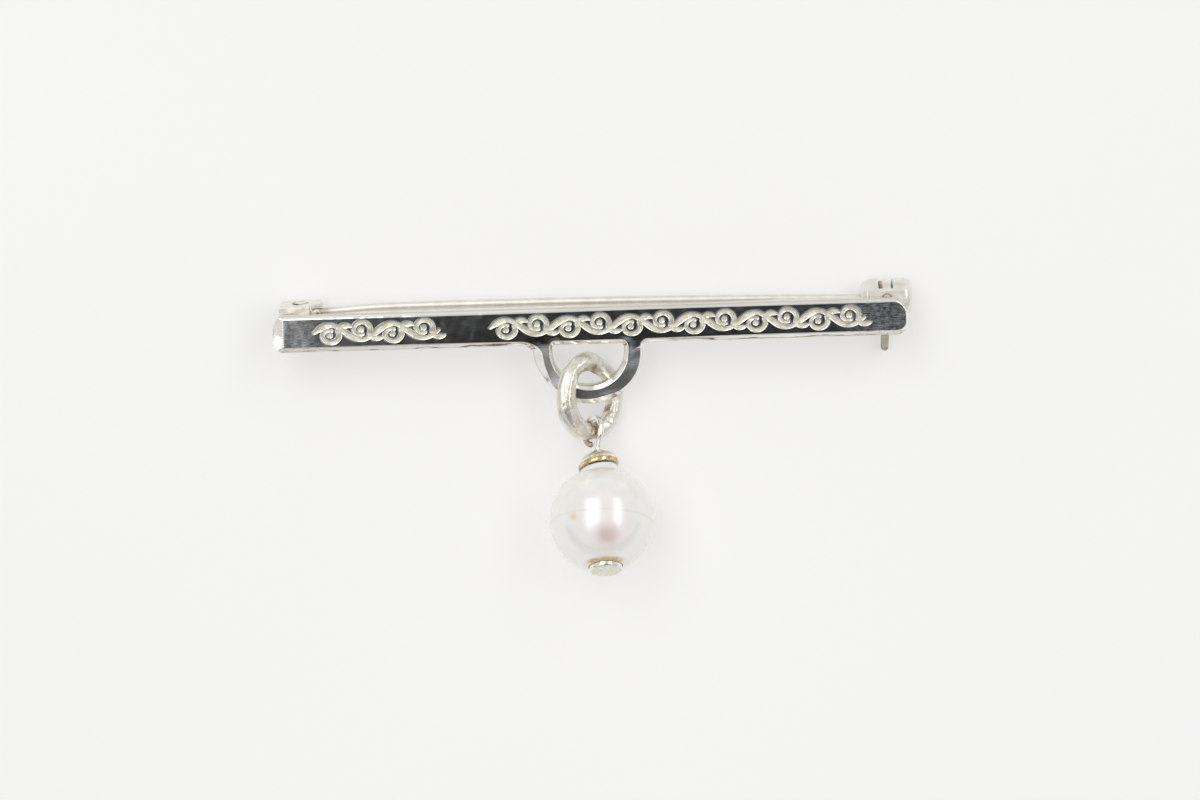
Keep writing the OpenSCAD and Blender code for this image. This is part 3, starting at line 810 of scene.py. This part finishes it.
def catch_lever(material):
    """The rotating lever: a sleeve with a gap, a disc, a collar beside it and the tongue."""
    inner_r, gap_half, disc_r = 0.5, 0.4, BARREL_R - 0.08
    shells = [
        along_bar(cylinder(BORE_R - PLAY, BORE_ENDS[0] + PLAY, BORE_ENDS[1] - PLAY)),
        along_bar(cylinder(disc_r, CATCH_X - LEVER_HALF_T, CATCH_X + LEVER_HALF_T, 64)),
        along_bar(cylinder(BARREL_R - 0.2, GROOVE_X0 + 0.06, CATCH_X, 64)),
        lever_tongue(),
    ]
    past_left, past_right = 20, 26
    cutters = [
        along_bar(cylinder(inner_r, past_left, past_right)),
        box((past_left, CATCH_V - gap_half, -CATCH_W - 3), (past_right, CATCH_V + gap_half, -CATCH_W)),
    ]
    points, faces = softened(shells, cutters, voxel=0.045, passes=3)
    x, v, w = points.T
    # Painted shade: darker inside the barrel, beside the disc and on the tongue's lower part
    in_barrel = step((disc_r - 0.12 - np.hypot(v - CATCH_V, w + CATCH_W)) / 0.1)
    beside_disc = step((CATCH_X - LEVER_HALF_T - 0.04 - x) / 0.05) * (x > CATCH_X - 0.7)
    low = step((CATCH_V - 1.6 - v) / 0.8)
    marks = {"dirt_and_shade": np.maximum.reduce([0.8 * in_barrel, 0.9 * beside_disc, 0.62 * low])}
    piece("lever", (points, faces), ON_BAR, material, "catch_lever", marks, body="lever")


# The link and the drop

# The link's swellings: (degrees round the ring, spread, side of the wire, height)
# A side of 0 degrees is outwards and 90 is the link's front
SWELLINGS = [
    (196, 38, -41, 0.2), (206, 20, 139, 0.07), (84, 26, 150, 0.22), (104, 20, 60, 0.06),
    (305, 26, 90, 0.08), (240, 24, -30, 0.14),
]


def cast_link(material):
    """The thick cast ring: swollen on its left limb, its upper right sunk, with soft facets and pits."""
    bend, half_side, wire = 2.45, 0.37, 0.7
    a = round_turn(340)[:, None]
    b = round_turn(56)

    def near(degrees, spread):
        """1 at a place round the ring, falling off to both sides."""
        return bell(a - radians(degrees), radians(spread))

    radial = np.stack([np.cos(a), np.sin(a), 0 * a], -1)
    side_shift = half_side * np.sin(a) / np.sqrt(np.sin(a) ** 2 + 0.03)
    path = bend * radial + np.stack([0 * a, side_shift, -0.92 * near(57, 27)], -1)
    px = np.cos(a) * (bend + wire * np.cos(b)) + 0.5 * np.sin(b)
    py = np.sin(a) * (bend + wire * np.cos(b)) - 0.4 * np.sin(b)
    facets = 0.024 * np.cos(5 * b + 1.6 * np.sin(2 * a) + 0.7) + 0.016 * np.cos(3 * b - 2 * a)
    lumps = 0.024 * ripple(px, py, 1.9, 51)
    in_eye = near(268, 15)
    grain = (0.004 + 0.016 * in_eye + 0.013 * near(318, 32)) * ripple(px, py, 0.42, 52)
    pits = 0.09 * np.minimum(0, ripple(px, py, 0.42, 53) + 1.45)
    radii = wire - 0.03 + facets + lumps + grain + pits - 0.05 * in_eye
    for degrees, spread, towards, height in SWELLINGS:
        radii = radii + height * near(degrees, spread) * np.maximum(0, np.cos(b - radians(towards)))
    out = np.cos(b)[:, None] * radial + np.sin(b)[:, None] * np.array([0, 0, 1.0])
    shell = swept_sections(path + radii[..., None] * out, closed_path=True)

    # Brown in the pits is tarnish; the brown between lumps, on the upper inner face and under the head pin's
    # eye is painted shade, with more darkening on the left and the lower right
    hollow = 0.45 * np.clip(-lumps * 16 - 0.1, 0, 1)
    top_inside = near(78, 38) * step((-np.cos(b) - 0.1) / 0.5)
    right_low = near(337, 17) * step((-np.cos(b - 0.6) - 0.3) / 0.4)
    blotchy = 1.3 * (0.6 + 0.5 * ripple(px, py, 0.8, 54)) * (top_inside + right_low)
    dirt_and_shade = -pits * 16 + hollow + 0.2 * near(180, 38) + blotchy + 0.8 * in_eye
    marks = {"dirt_and_shade": np.clip(dirt_and_shade, 0, 1).reshape(-1)}
    piece("cast_link", shell, ON_LINK, material, "link", marks)


def bridge(a, a_dir, b, b_dir, count):
    """A smooth curve that leaves a along one direction and reaches b along another."""
    t = np.linspace(0, 1, count)[:, None]
    from_a = (2 * t**3 - 3 * t**2 + 1) * a + (t**3 - 2 * t**2 + t) * a_dir
    return from_a + (3 * t**2 - 2 * t**3) * b + (t**3 - t**2) * b_dir


def pin_wire(shank_low, shank_top, eye, across):
    """The head pin's wire: straight through the pearl, then bent round into an eye with a blunt end."""
    upward = np.array([0.0, 0.0, 1.0])
    turn = np.radians(np.linspace(-34, 255, 100))[:, None]
    ring = eye + EYE_R * (np.cos(turn) * across + np.sin(turn) * upward)
    ring_start = np.cos(turn[0]) * upward - np.sin(turn[0]) * across
    shank = np.linspace(shank_low, shank_top, 60)[:, None] * upward
    rise = bridge(shank[-1], 0.8 * upward, ring[0], 0.8 * ring_start, 16)
    path = np.vstack([shank, rise[1:-1], ring])
    steps = np.linalg.norm(np.diff(path, axis=0), axis=1)
    to_end = np.concatenate([np.cumsum(steps[::-1])[::-1], [0]])
    blunt = np.clip(1 - to_end / 0.16, 0, 1)
    return tube(path, (WIRE_R + 0.02) * np.sqrt(1 - 0.85 * blunt**2), 24)


def pin_disc(disc_s):
    """The head pin's end disc, its face a little uneven."""
    disc_r, disc_t = 1.3, 0.8
    # Its rounded rim: (inwards from the rim, up from the face)
    rim = [(0.3, 0.01), (0.12, 0.04), (0.03, 0.11), (0, 0.2), (0, 0.46), (0.03, 0.58), (0.12, 0.68)]
    rim += [(0.3, 0.77), (0.6, disc_t), (disc_r, disc_t)]
    profile = [(radius, disc_s) for radius in (0, *np.linspace(0.12, disc_r - 0.34, 9))]
    profile += [(disc_r - inwards, disc_s + up) for inwards, up in rim]
    points, faces = lathe(profile, 96)
    x, y, z = points.T
    z += (z < disc_s + 0.03) * 0.02 * (0.4 + ripple(x, y, 0.36, 61))
    return points, faces


def head_pin(material):
    """The wire through the pearl, bent into an eye that is left slightly open, with its end disc."""
    disc_s, shank_top = -4.32, 5.95
    eye = np.array([-EYE_SIDE, 0.0, EYE_S])
    across = np.array([cos(EYE_TURN), sin(EYE_TURN), 0.0])
    wire = pin_wire(disc_s + 0.1, shank_top, eye, across)
    shell = joined([wire, pin_disc(disc_s)])
    z = shell[0][:, 2]
    on_disc = np.arange(len(z)) >= len(wire[0])
    # Darker on one side of the eye and at the shank's foot, where it enters the cap
    low_side = step((0.35 - (shell[0] - eye) @ across) / 0.7) * (z > shank_top + 0.2)
    darker_at_foot = step((6.1 - z) / 0.4) * (z > 5)
    marks = {
        "cut": on_disc * step((disc_s + 0.1 - z) / 0.06),
        "dirt_and_shade": np.clip(0.85 * low_side + 0.3 * darker_at_foot, 0, 1),
        "gilt": on_disc * step((z - disc_s - 0.46) / 0.1),
    }
    piece("head_pin_wire", shell, ON_DROP, material, "head_pin", marks)


def bead_cap(material):
    """The small cap: a domed shell with a gilt rim band, a bead above it and a drawn-up tip."""
    rim, hole, sides = 4.4, WIRE_R + PLAY, 84
    outer = [(1.46, 0), (1.56, 0.02), (1.6, 0.08), (1.6, 0.26), (1.59, 0.34), (1.56, 0.38), (1.47, 0.5)]
    outer += [(1.44, 0.6), (1.41, 0.68), (1.33, 0.81), (1.17, 0.96), (0.96, 1.09), (0.74, 1.19)]
    outer += [(0.56, 1.26), (0.44, 1.32), (0.36, 1.4), (0.32, 1.45), (hole, 1.46)]
    inner = [(hole, 0.96), (0.6, 0.84), (1.14, 0.4), (1.33, 0.05)]
    points, faces = lathe(np.array(outer + inner) + [0, rim], sides, closed=True)
    x, y, z = points.T
    angle = np.arctan2(y, x)
    z += 0.012 * ripple(3 * np.cos(angle), 3 * np.sin(angle), 3.0, 71) + CAP_TILT * x
    outside = np.repeat([1.0] * len(outer) + [0.0] * len(inner), sides)
    height = z - rim - CAP_TILT * x
    band = step((0.4 - height) / 0.06) * outside
    dome = step((height - 0.6) / 0.06) * outside
    seam = bell(height - 0.65, 0.04) * outside
    # Painted shade inside the cap and along the line where the dome starts; the dome is a little darker all
    # over
    marks = {"dirt_and_shade": 0.35 * (1 - outside) + 0.22 * dome + 0.5 * seam, "gilt": band, "cut": 0.5 * dome}
    piece("cap_shell", (points, faces), ON_DROP, material, "bead_cap", marks)


def pearl_shell():
    """The pearl, drilled through: nearly round, with a neck under the cap and a seat for the disc."""
    neck_r, neck_s, neck_foot_r = 1.53, 4.33, 2.25
    seat_s, seat_r, seat_rim_s, drill = -3.49, 1.35, -3.84, 0.3
    # The neck from its upper edge: (outwards, down)
    steps = [(-0.12, 0), (0, 0.1), (0.01, 0.35), (0.05, 0.5), (0.16, 0.62), (0.33, 0.71), (0.52, 0.79)]
    neck = [(drill, neck_s)] + [(neck_r + out, neck_s - down) for out, down in steps]
    a = np.linspace(asin(neck_foot_r / PEARL_R), pi - asin(seat_r / PEARL_R), 230)
    # Two faint rings: (height, depth, half width)
    rings = [(2.7, 0.008, 0.2), (-1.9, 0.008, 0.3)]
    radius = PEARL_R - sum(depth * bell(PEARL_R * np.cos(a) - at, half) for at, depth, half in rings)
    body = np.stack([radius * np.sin(a), radius * np.cos(a)], -1)
    seat = [(seat_r - 0.02, seat_rim_s), (seat_r - 0.03, seat_s), (drill, seat_s)]
    return lathe(np.array(neck + body.tolist() + seat), 240, closed=True)


def picture_axes():
    """The photograph's right, up and towards directions in the drop's own frame."""
    right, up, ahead = view_axes()
    return np.array([right, up, -ahead]) @ (ON_DROP[:3, :3] / MM)


def near_on_pearl(points, right_mm, up_mm, spread):
    """1 at the place on the pearl that is that far right and up from its centre in the photograph."""
    towards = sqrt(PEARL_R**2 - right_mm**2 - up_mm**2)
    place = np.array([right_mm, up_mm, towards]) @ picture_axes()
    return bell(np.linalg.norm(points - place, axis=1), spread)


def pearl(material):
    """The pearl, with a growth line round it a little askew to the drill hole, a spot, a painted pink-brown
    reflection, a painted sheen and painted light on its neck.
    """
    points, faces = pearl_shell()
    x, y, z = points.T
    lumps = ripple(x + 0.6 * z, y - 0.5 * z, 7.0, 81)
    share = np.clip(np.linalg.norm(points, axis=1) / PEARL_R, 0, 1) ** 3
    _, up, back = picture_axes()
    line_slope, line_low = 0.37, -0.5
    off_line = (points @ up - line_low - line_slope * (points @ back)) / hypot(1, line_slope)
    points *= (1 - (0.0025 * (1 + lumps) + 0.003 * bell(off_line, 0.08)) * share)[:, None]
    z += CAP_TILT * x * step((z - 3.3) / 0.6)

    off_axis = np.hypot(x, y)
    upper_side = points[:, :2] @ back[:2] / np.maximum(off_axis * np.linalg.norm(back[:2]), 0.1)
    round_disc = step((1.95 - off_axis) / 0.3) * (z < -3)
    marks = {
        "spot": near_on_pearl(points, -2.28, 0.37, 0.26),
        # A gold-brown band round the disc's seat, strongest on the side facing the camera: partly gold
        # residue, partly the disc's painted reflection and shade
        "stain_and_shade": round_disc * (0.15 + 0.85 * step((upper_side - 0.35) / 0.4)),
        # Painted reflection: a pink-brown patch a little right of and below the pearl's middle as the camera
        # sees it
        "painted_reflection": near_on_pearl(points, 0.42, -1.15, 0.88),
        "line": np.clip(bell(off_line, 0.07) * (0.6 + 0.4 * lumps), 0, 1),
        # Painted light: bluish white on the neck under the cap, lifting the cap's shade
        "painted_neck_light": step((z - 3.55) / 0.25) * (z > 3),
        # Painted sheen: 0 where the surface faces the camera squarely, 1 at the outline as the camera sees
        # it
        "side": 1 - np.clip(points @ back / np.linalg.norm(points, axis=1), 0, 1),
    }
    piece("pearl_bead", (points, faces), ON_DROP, material, "pearl", marks)


# Materials

class Nodes:
    """The node tree of a material or the world, with short calls for what is needed here."""

    def __init__(self, block, shader, coordinates="Object"):
        block.use_nodes = True
        self.block = block
        self.tree = block.node_tree
        self.shader = self.tree.nodes[shader]
        self.place = self.node("TexCoord", {}, coordinates)

    def fill(self, socket, value):
        """Gives an input a value, or links a node's output to it."""
        if isinstance(value, bpy.types.NodeSocket):
            self.tree.links.new(value, socket)
        else:
            socket.default_value = value

    def put(self, name, value):
        """Fills one of the shader's inputs."""
        self.fill(self.shader.inputs[name], value)

    def node(self, kind, inputs, output=0, **settings):
        """Adds a node with its settings and its filled inputs, and returns one of its outputs."""
        node = with_settings(self.tree.nodes.new("ShaderNode" + kind), **settings)
        for key, value in inputs.items():
            self.fill(node.inputs[key], value)
        return node.outputs[output]

    def mark(self, name):
        """A number that the mesh carries for every point."""
        return self.node("Attribute", {}, "Fac", attribute_name=name)

    def along(self, axis):
        return self.node("SeparateXYZ", {"Vector": self.place}, axis)

    def noise(self, size_mm, detail=3.0, stretch=None):
        """Noise with bumps of about that size."""
        place = self.place
        if stretch:
            place = self.node("Mapping", {"Vector": place, "Scale": stretch})
        return self.node("TexNoise", {"Vector": place, "Scale": 1 / (size_mm * MM), "Detail": detail}, "Fac")

    def math(self, operation, *values):
        return self.node("Math", dict(enumerate(values)), operation=operation)

    def plus(self, a, b):
        return self.math("ADD", a, b)

    def times(self, a, b):
        return self.math("MULTIPLY", a, b)

    def scaled(self, value, factor, offset):
        return self.math("MULTIPLY_ADD", value, factor, offset)

    def fade(self, value, low, high, top=1.0):
        """0 up to low, top from high on, and a straight rise between them."""
        return self.node("MapRange", {"Value": value, "From Min": low, "From Max": high, "To Max": top})

    def ramp(self, factor, stops):
        """A colour ramp through (place, colour)."""
        node = self.tree.nodes.new("ShaderNodeValToRGB")
        elements = node.color_ramp.elements
        while len(elements) < len(stops):
            elements.new(0.5)
        for element, (at, colour) in zip(elements, stops):
            element.position = at
            element.color = (*colour, 1)
        self.fill(node.inputs["Fac"], factor)
        return node.outputs["Color"]

    def mix(self, factor, a, b, blend="MIX"):
        """Two colours mixed, the second one an output or three numbers."""
        second = (*b, 1) if isinstance(b, tuple) else b
        # The node's inputs 6 and 7 and its output 2 are the ones for colours
        return self.node("Mix", {"Factor": factor, 6: a, 7: second}, 2, data_type="RGBA", blend_type=blend)

    def bump(self, height, distance_mm, strength):
        inputs = {"Height": height, "Distance": distance_mm * MM, "Strength": strength}
        return self.node("Bump", inputs, "Normal")


def skin(name):
    """The nodes of a new material with the usual shader."""
    return Nodes(bpy.data.materials.new(name), "Principled BSDF")


def glow(name):
    """The nodes of a new material that only shines."""
    n = skin(name)
    n.tree.nodes.remove(n.shader)
    n.shader = n.tree.nodes.new("ShaderNodeEmission")
    n.fill(n.tree.nodes["Material Output"].inputs["Surface"], n.shader.outputs["Emission"])
    return n


def patchy_glow(name, size_mm, detail, stops):
    """The same with patches of about that size, in colours of a ramp."""
    n = glow(name)
    n.put("Color", n.ramp(n.noise(size_mm, detail), stops))
    return n


def polished_silver():
    """Mirror-polished silver with frosted, tool-lined floors in the engraving and a darker outline, painted
    shade along the bevels' outer edges.
    """
    n = skin("polished_silver")
    cut, worn, satin = n.mark("cut"), n.mark("worn"), n.mark("satin")
    # A thin pale film, thickest on the loop and patchy at the bar's ends, takes some of the mirror away
    film = n.math("MAXIMUM", satin, n.times(worn, n.fade(n.noise(0.3, 4), 0.4, 0.62, 0.42)))
    n.put("Metallic", n.scaled(film, -0.3, 1.0))
    tint = n.ramp(n.noise(2.2), [(0.3, (0.89, 0.875, 0.83)), (0.7, (0.93, 0.925, 0.905))])
    # Painted shade: an olive darkening towards the outer edges of the bevels
    edged = n.mix(n.fade(n.mark("rim"), 0.84, 0.97, 0.75), tint, (0.6, 0.56, 0.45))
    stops = [(0.32, (0.64, 0.61, 0.47)), (0.5, (0.84, 0.815, 0.7)), (0.68, (0.95, 0.94, 0.88))]
    lines = n.math("SINE", n.times(n.mark("across"), 17.0))
    lined = n.mix(n.scaled(lines, 0.16, 0.16), n.ramp(n.noise(0.4), stops), (0.5, 0.46, 0.32))
    n.put("Base Color", n.mix(cut, edged, lined))
    scuffs = n.scaled(n.noise(0.3, 4, (0.25, 1.0, 1.0)), 0.07, 0.02)
    n.put("Roughness", n.plus(n.plus(scuffs, n.times(satin, 0.1)), n.times(cut, 0.27)))
    floor = n.times(n.plus(lines, n.noise(0.09)), cut)
    hand = n.times(n.noise(0.45, 2), 0.12)
    streaks = n.times(n.noise(0.1, 3, (0.16, 1.0, 1.0)), n.scaled(worn, 0.6, 0.12))
    n.put("Normal", n.bump(n.plus(n.plus(floor, hand), streaks), 0.02, 0.5))
    return n.block


def whitened_silver():
    """Pickled silver: pale, matte, finely grained, brown on solder crust and with brown painted as shade in
    seats, gaps, grooves and bores.
    """
    n = skin("whitened_silver")
    clean = n.ramp(n.noise(0.8), [(0.3, (0.78, 0.755, 0.69)), (0.7, (0.9, 0.885, 0.84))])
    # Brown for real crust and for painted shade in recesses and between parts
    stain_and_shade = n.ramp(n.noise(0.5), [(0.3, (0.2, 0.14, 0.07)), (0.7, (0.45, 0.38, 0.24))])
    darkened_share = n.times(n.mark("dirt_and_shade"), n.plus(n.noise(0.3), 0.5))
    n.put("Metallic", 0.85)
    n.put("Base Color", n.mix(n.fade(darkened_share, 0.0, 1.0), clean, stain_and_shade))
    n.put("Roughness", n.scaled(n.noise(0.4), 0.2, 0.3))
    n.put("Normal", n.bump(n.noise(0.12, 4), 0.02, 0.5))
    return n.block


def cast_silver():
    """Cast and tumbled silver: bright skin, rough grain, brown pits, a few warm patches and brown painted as
    shade in its hollows and under the eye.
    """
    n = skin("cast_silver")
    clean = n.ramp(n.noise(0.9), [(0.3, (0.74, 0.71, 0.64)), (0.7, (0.9, 0.89, 0.85))])
    stain_and_shade = n.ramp(n.noise(0.35), [(0.35, (0.2, 0.12, 0.06)), (0.65, (0.62, 0.5, 0.3))])
    # The mark's brown is tarnish in pits together with painted shade; the noise adds real warm patches
    darkened_share = n.math("MAXIMUM", n.times(n.mark("dirt_and_shade"), 0.9), n.fade(n.noise(1.5, 4), 0.58, 0.7, 0.3))
    n.put("Metallic", 0.9)
    n.put("Base Color", n.mix(darkened_share, clean, stain_and_shade))
    n.put("Roughness", n.scaled(n.noise(0.5), 0.26, 0.17))
    n.put("Normal", n.bump(n.noise(0.28, 4), 0.04, 0.8))
    return n.block


def drop_silver():
    """The drop's findings: polished silver under a warm tarnish, frosted on the end disc, with brown painted
    as shade inside the cap and a few darker places on the wire.
    """
    n = skin("drop_silver")
    cut = n.mark("cut")
    clean = n.ramp(n.noise(0.7), [(0.3, (0.86, 0.83, 0.76)), (0.7, (0.94, 0.93, 0.89))])
    stops = [(0.35, (0.42, 0.29, 0.14)), (0.5, (0.74, 0.55, 0.27)), (0.68, (0.9, 0.78, 0.52))]
    warm = n.mix(n.mark("gilt"), clean, n.ramp(n.noise(0.35, 4), stops))
    matte = n.ramp(n.noise(0.16, 4), [(0.35, (0.66, 0.63, 0.52)), (0.6, (0.86, 0.84, 0.76))])
    frosted = n.mix(n.times(cut, 0.8), warm, matte)
    stain_and_shade = n.ramp(n.noise(0.4), [(0.3, (0.3, 0.2, 0.11)), (0.7, (0.55, 0.44, 0.28))])
    n.put("Metallic", 1.0)
    n.put("Base Color", n.mix(n.mark("dirt_and_shade"), frosted, stain_and_shade))
    n.put("Roughness", n.scaled(cut, 0.35, 0.14))
    n.put("Normal", n.bump(n.noise(0.15, 4), 0.02, 0.4))
    return n.block


def nacre():
    """White pearl under a soft bright gloss, with a painted sheen, rosy where it faces the camera and creamy
    towards its outline, a painted reflection and painted light on its neck.
    """
    n = skin("nacre")
    n.put("Metallic", 0.15)
    n.put("Coat Weight", 0.55)
    n.put("Coat Roughness", 0.19)
    # Painted sheen: rosy where the surface faces the camera, creamy towards the outline
    stops = [(0.03, (0.97, 0.92, 0.91)), (0.16, (0.96, 0.955, 0.93)), (0.32, (0.965, 0.97, 0.94))]
    stops += [(0.6, (0.99, 0.977, 0.93)), (0.9, (0.99, 0.965, 0.91))]
    tone = n.ramp(n.plus(n.mark("side"), n.scaled(n.noise(3.2, 2), 0.3, -0.15)), stops)
    # Painted light on the neck under the cap
    tone = n.mix(n.mark("painted_neck_light"), tone, (0.95, 0.96, 0.985))
    tone = n.mix(n.times(n.mark("line"), 0.5), tone, (0.8, 0.69, 0.6))
    # Painted reflection: the pink-brown patch
    tone = n.mix(n.times(n.mark("painted_reflection"), 0.8), tone, (0.84, 0.62, 0.54))
    tone = n.mix(n.mark("spot"), tone, (0.95, 0.7, 0.36))
    # The band round the disc's seat: partly residue, partly the disc's painted reflection and shade
    stain_and_shade = n.ramp(n.noise(0.5), [(0.35, (0.58, 0.42, 0.2)), (0.65, (0.8, 0.67, 0.43))])
    n.put("Base Color", n.mix(n.mark("stain_and_shade"), tone, stain_and_shade))
    n.put("Roughness", n.scaled(n.noise(1.4), 0.1, 0.17))
    return n.block


# The view and the stage

CAMERA_ELEVATION = radians(85)
CAMERA_ROLL = radians(1.72)
CAMERA_DISTANCE = 360
PIXELS_PER_MM = 12.7
IMAGE_WIDTH = 1200
SENSOR = 36
# The foot of the bar's back in the photograph, from the picture's centre, in pixels right and up
FOOT_RIGHT, FOOT_UP = -9.2, 77.1
FLOOR_GLOW = 0.432
FLOOR_DARK, FLOOR_LIGHT = (0.535, 0.535, 0.533), (0.545, 0.545, 0.543)
PANEL_WHITE = (1.0, 0.995, 0.985)
# The dark card's tones from the left end of the face to its right end
CARD_ALONG = [
    (0.0, (0.6, 0.62, 0.64)), (0.15, (0.27, 0.285, 0.3)), (0.2, (0.1, 0.106, 0.11)),
    (0.36, (0.02, 0.019, 0.016)), (0.55, (0.015, 0.014, 0.012)), (0.74, (0.018, 0.02, 0.021)),
    (0.86, (0.05, 0.06, 0.075)), (1.0, (0.18, 0.21, 0.25)),
]
# What its edges add, from the back edge, low over the work, to the front edge
CARD_ACROSS = [
    (0.0, (0.5, 0.51, 0.52)), (0.13, (0.2, 0.215, 0.235)), (0.25, (0.03, 0.034, 0.038)), (0.33, (0, 0, 0)),
    (0.58, (0, 0, 0)), (0.72, (0.07, 0.045, 0.035)), (0.86, (0.24, 0.19, 0.16)), (1.0, (0.48, 0.44, 0.4)),
]


def view_axes():
    """The camera's right, up and forward directions."""
    level_up = np.array([0, sin(CAMERA_ELEVATION), cos(CAMERA_ELEVATION)])
    right = cos(CAMERA_ROLL) * along_x - sin(CAMERA_ROLL) * level_up
    up = sin(CAMERA_ROLL) * along_x + cos(CAMERA_ROLL) * level_up
    return right, up, np.cross(up, right)


def direction(to_right, to_back):
    """A direction given by angles in degrees from the camera's own, to the right and to the back."""
    _, up, ahead = view_axes()
    d = -ahead + tan(radians(to_right)) * along_x + tan(radians(to_back)) * up
    return d / np.linalg.norm(d)


def placed(name, data, axes, at):
    """A camera or a lamp at a place in metres, with its own three axes."""
    obj = linked(name, data)
    obj.matrix_world = Matrix([*np.stack([*axes, at], 1).tolist(), (0, 0, 0, 1)])
    return obj


def add_camera():
    right, up, ahead = view_axes()
    target = foot - (FOOT_RIGHT * right + FOOT_UP * up) / PIXELS_PER_MM
    lens = PIXELS_PER_MM * CAMERA_DISTANCE * SENSOR / IMAGE_WIDTH
    data = bpy.data.cameras.new("camera")
    with_settings(data, sensor_width=SENSOR, lens=lens, clip_start=0.01, clip_end=20)
    spot = (target - CAMERA_DISTANCE * ahead) * MM
    bpy.context.scene.camera = placed("camera", data, (right, up, -ahead), spot)


def stage_piece(name, shell, nodes, only_reflected=True):
    """A piece of the stage, in metres."""
    obj = new_object(name, shell)
    obj.data.materials.append(nodes.block)
    if only_reflected:
        for rays in ("camera", "diffuse", "transmission", "shadow", "volume_scatter"):
            setattr(obj, "visible_" + rays, False)


def add_floor():
    """The white acrylic table, lit a little from below, so that shadows on it stay pale."""
    n = skin("acrylic")
    n.put("Roughness", 0.9)
    n.put("Specular IOR Level", 0.1)
    n.put("Emission Color", (1.0, 1.0, 0.995, 1))
    n.put("Emission Strength", FLOOR_GLOW)
    n.put("Base Color", n.ramp(n.noise(60, 2), [(0.3, FLOOR_DARK), (0.7, FLOOR_LIGHT)]))
    half, low = 2.0, -0.00002
    corners = [(-half, -half, low), (half, -half, low), (half, half, low), (-half, half, low)]
    stage_piece("floor", (corners, [range(4)]), n, only_reflected=False)


def add_tent():
    """The white tent round the table, which the silver and the pearl mirror."""
    stops = [(0.34, (0.5, 0.48, 0.42)), (0.48, (0.7, 0.69, 0.66)), (0.66, (0.84, 0.85, 0.85))]
    radius = 0.9
    rise = np.radians(np.linspace(-2, 90, 20))
    shell = lathe(radius * np.stack([np.cos(rise), np.sin(rise)], -1), 48)
    stage_piece("tent", shell, patchy_glow("tent_cloth", 312.5, 3, stops))


def add_dark_card():
    """A dark shape in front of the work, seen only in reflections: it blackens the polished face."""
    n = glow("dark_card")
    base = n.ramp(n.fade(n.along("X"), -0.09, 0.09), CARD_ALONG)
    patches = n.ramp(n.noise(1000 / 26, 4), [(0.35, (0.6, 0.6, 0.6)), (0.66, (1.7, 1.66, 1.62))])
    edges = n.ramp(n.fade(n.along("Y"), -0.1, -0.4), CARD_ACROSS)
    n.put("Color", n.mix(1.0, n.mix(1.0, base, patches, "MULTIPLY"), edges, "ADD"))
    distance = 0.5
    outline = [(-28, -48), (40, -48), (36, -14), (18, -6), (-8, -6), (-26, -14)]
    corners = [direction(to_right, to_back) * distance for to_right, to_back in outline]
    stage_piece("dark_card", (corners, [range(len(corners))]), n)


def add_table_edge():
    """The table's dark front edge, a thin line low in the reflections."""
    n = patchy_glow("table_edge", 1000 / 9, 2, [(0.3, (0.13, 0.07, 0.05)), (0.7, (0.24, 0.16, 0.12))])
    reach, away, low, high = 1.2, -0.5, 0.028, 0.05
    corners = [(-reach, away, low), (reach, away, low), (reach, away, high), (-reach, away, high)]
    stage_piece("table_edge", (corners, [range(4)]), n)


def add_hem():
    """The brown hem of the tent's opening, a low arc in front, which the pearl mirrors as a curved line."""
    n = patchy_glow("tent_hem", 1000 / 7, 2, [(0.3, (0.2, 0.11, 0.07)), (0.7, (0.34, 0.21, 0.15))])
    radius, height, half = 0.6, 19, 3.5
    turn = np.radians(np.arange(188, 354, 5))[:, None]
    rise = np.radians(height * np.sin(turn - pi) + [-half, half])
    points = np.stack([np.cos(rise) * np.cos(turn), np.cos(rise) * np.sin(turn), np.sin(rise)], -1)
    stage_piece("tent_hem", (radius * points.reshape(-1, 3), grid_faces(len(turn), 2)), n)


def add_panel(name, to_right, to_back, width, height, radiance):
    """A soft box that shines at the work from a direction, upright in the picture."""
    distance = 0.45
    data = bpy.data.lights.new(name, "AREA")
    power = radiance * pi * width * height
    with_settings(data, shape="RECTANGLE", size=width, size_y=height, energy=power, color=PANEL_WHITE)
    d = direction(to_right, to_back)
    side = along_x - d * (along_x @ d)
    side /= np.linalg.norm(side)
    placed(name, data, (side, np.cross(d, side), d), d * distance)


def add_light():
    """A pale room, and two soft boxes that the pearl mirrors."""
    world = bpy.data.worlds.new("room")
    bpy.context.scene.world = world
    n = Nodes(world, "Background", "Generated")
    stops = [(0.0, (0.97, 0.96, 0.93)), (0.4, (0.95, 0.95, 0.95)), (1.0, (0.95, 0.95, 0.95))]
    n.put("Color", n.ramp(n.along("Z"), stops))
    n.put("Strength", 0.5)
    add_panel("panel_left", -22, 16, 0.25, 0.58, 1.65)
    add_panel("panel_right", 35, 17, 0.14, 0.58, 1.7)


bpy.context.scene.view_settings.view_transform = "Standard"
add_camera()
add_floor()
add_tent()
add_dark_card()
add_table_edge()
add_hem()
add_light()

mirror = polished_silver()
white = whitened_silver()
tarnished = drop_silver()
bevels = bevel_finder()
bar_plate(mirror, bevels)
loop_band(mirror, bevels)
hinge_box(white)
rivet(white)
pin_stem(white)
catch_barrel(white)
catch_lever(white)
cast_link(cast_silver())
head_pin(tarnished)
bead_cap(tarnished)
pearl(nacre())
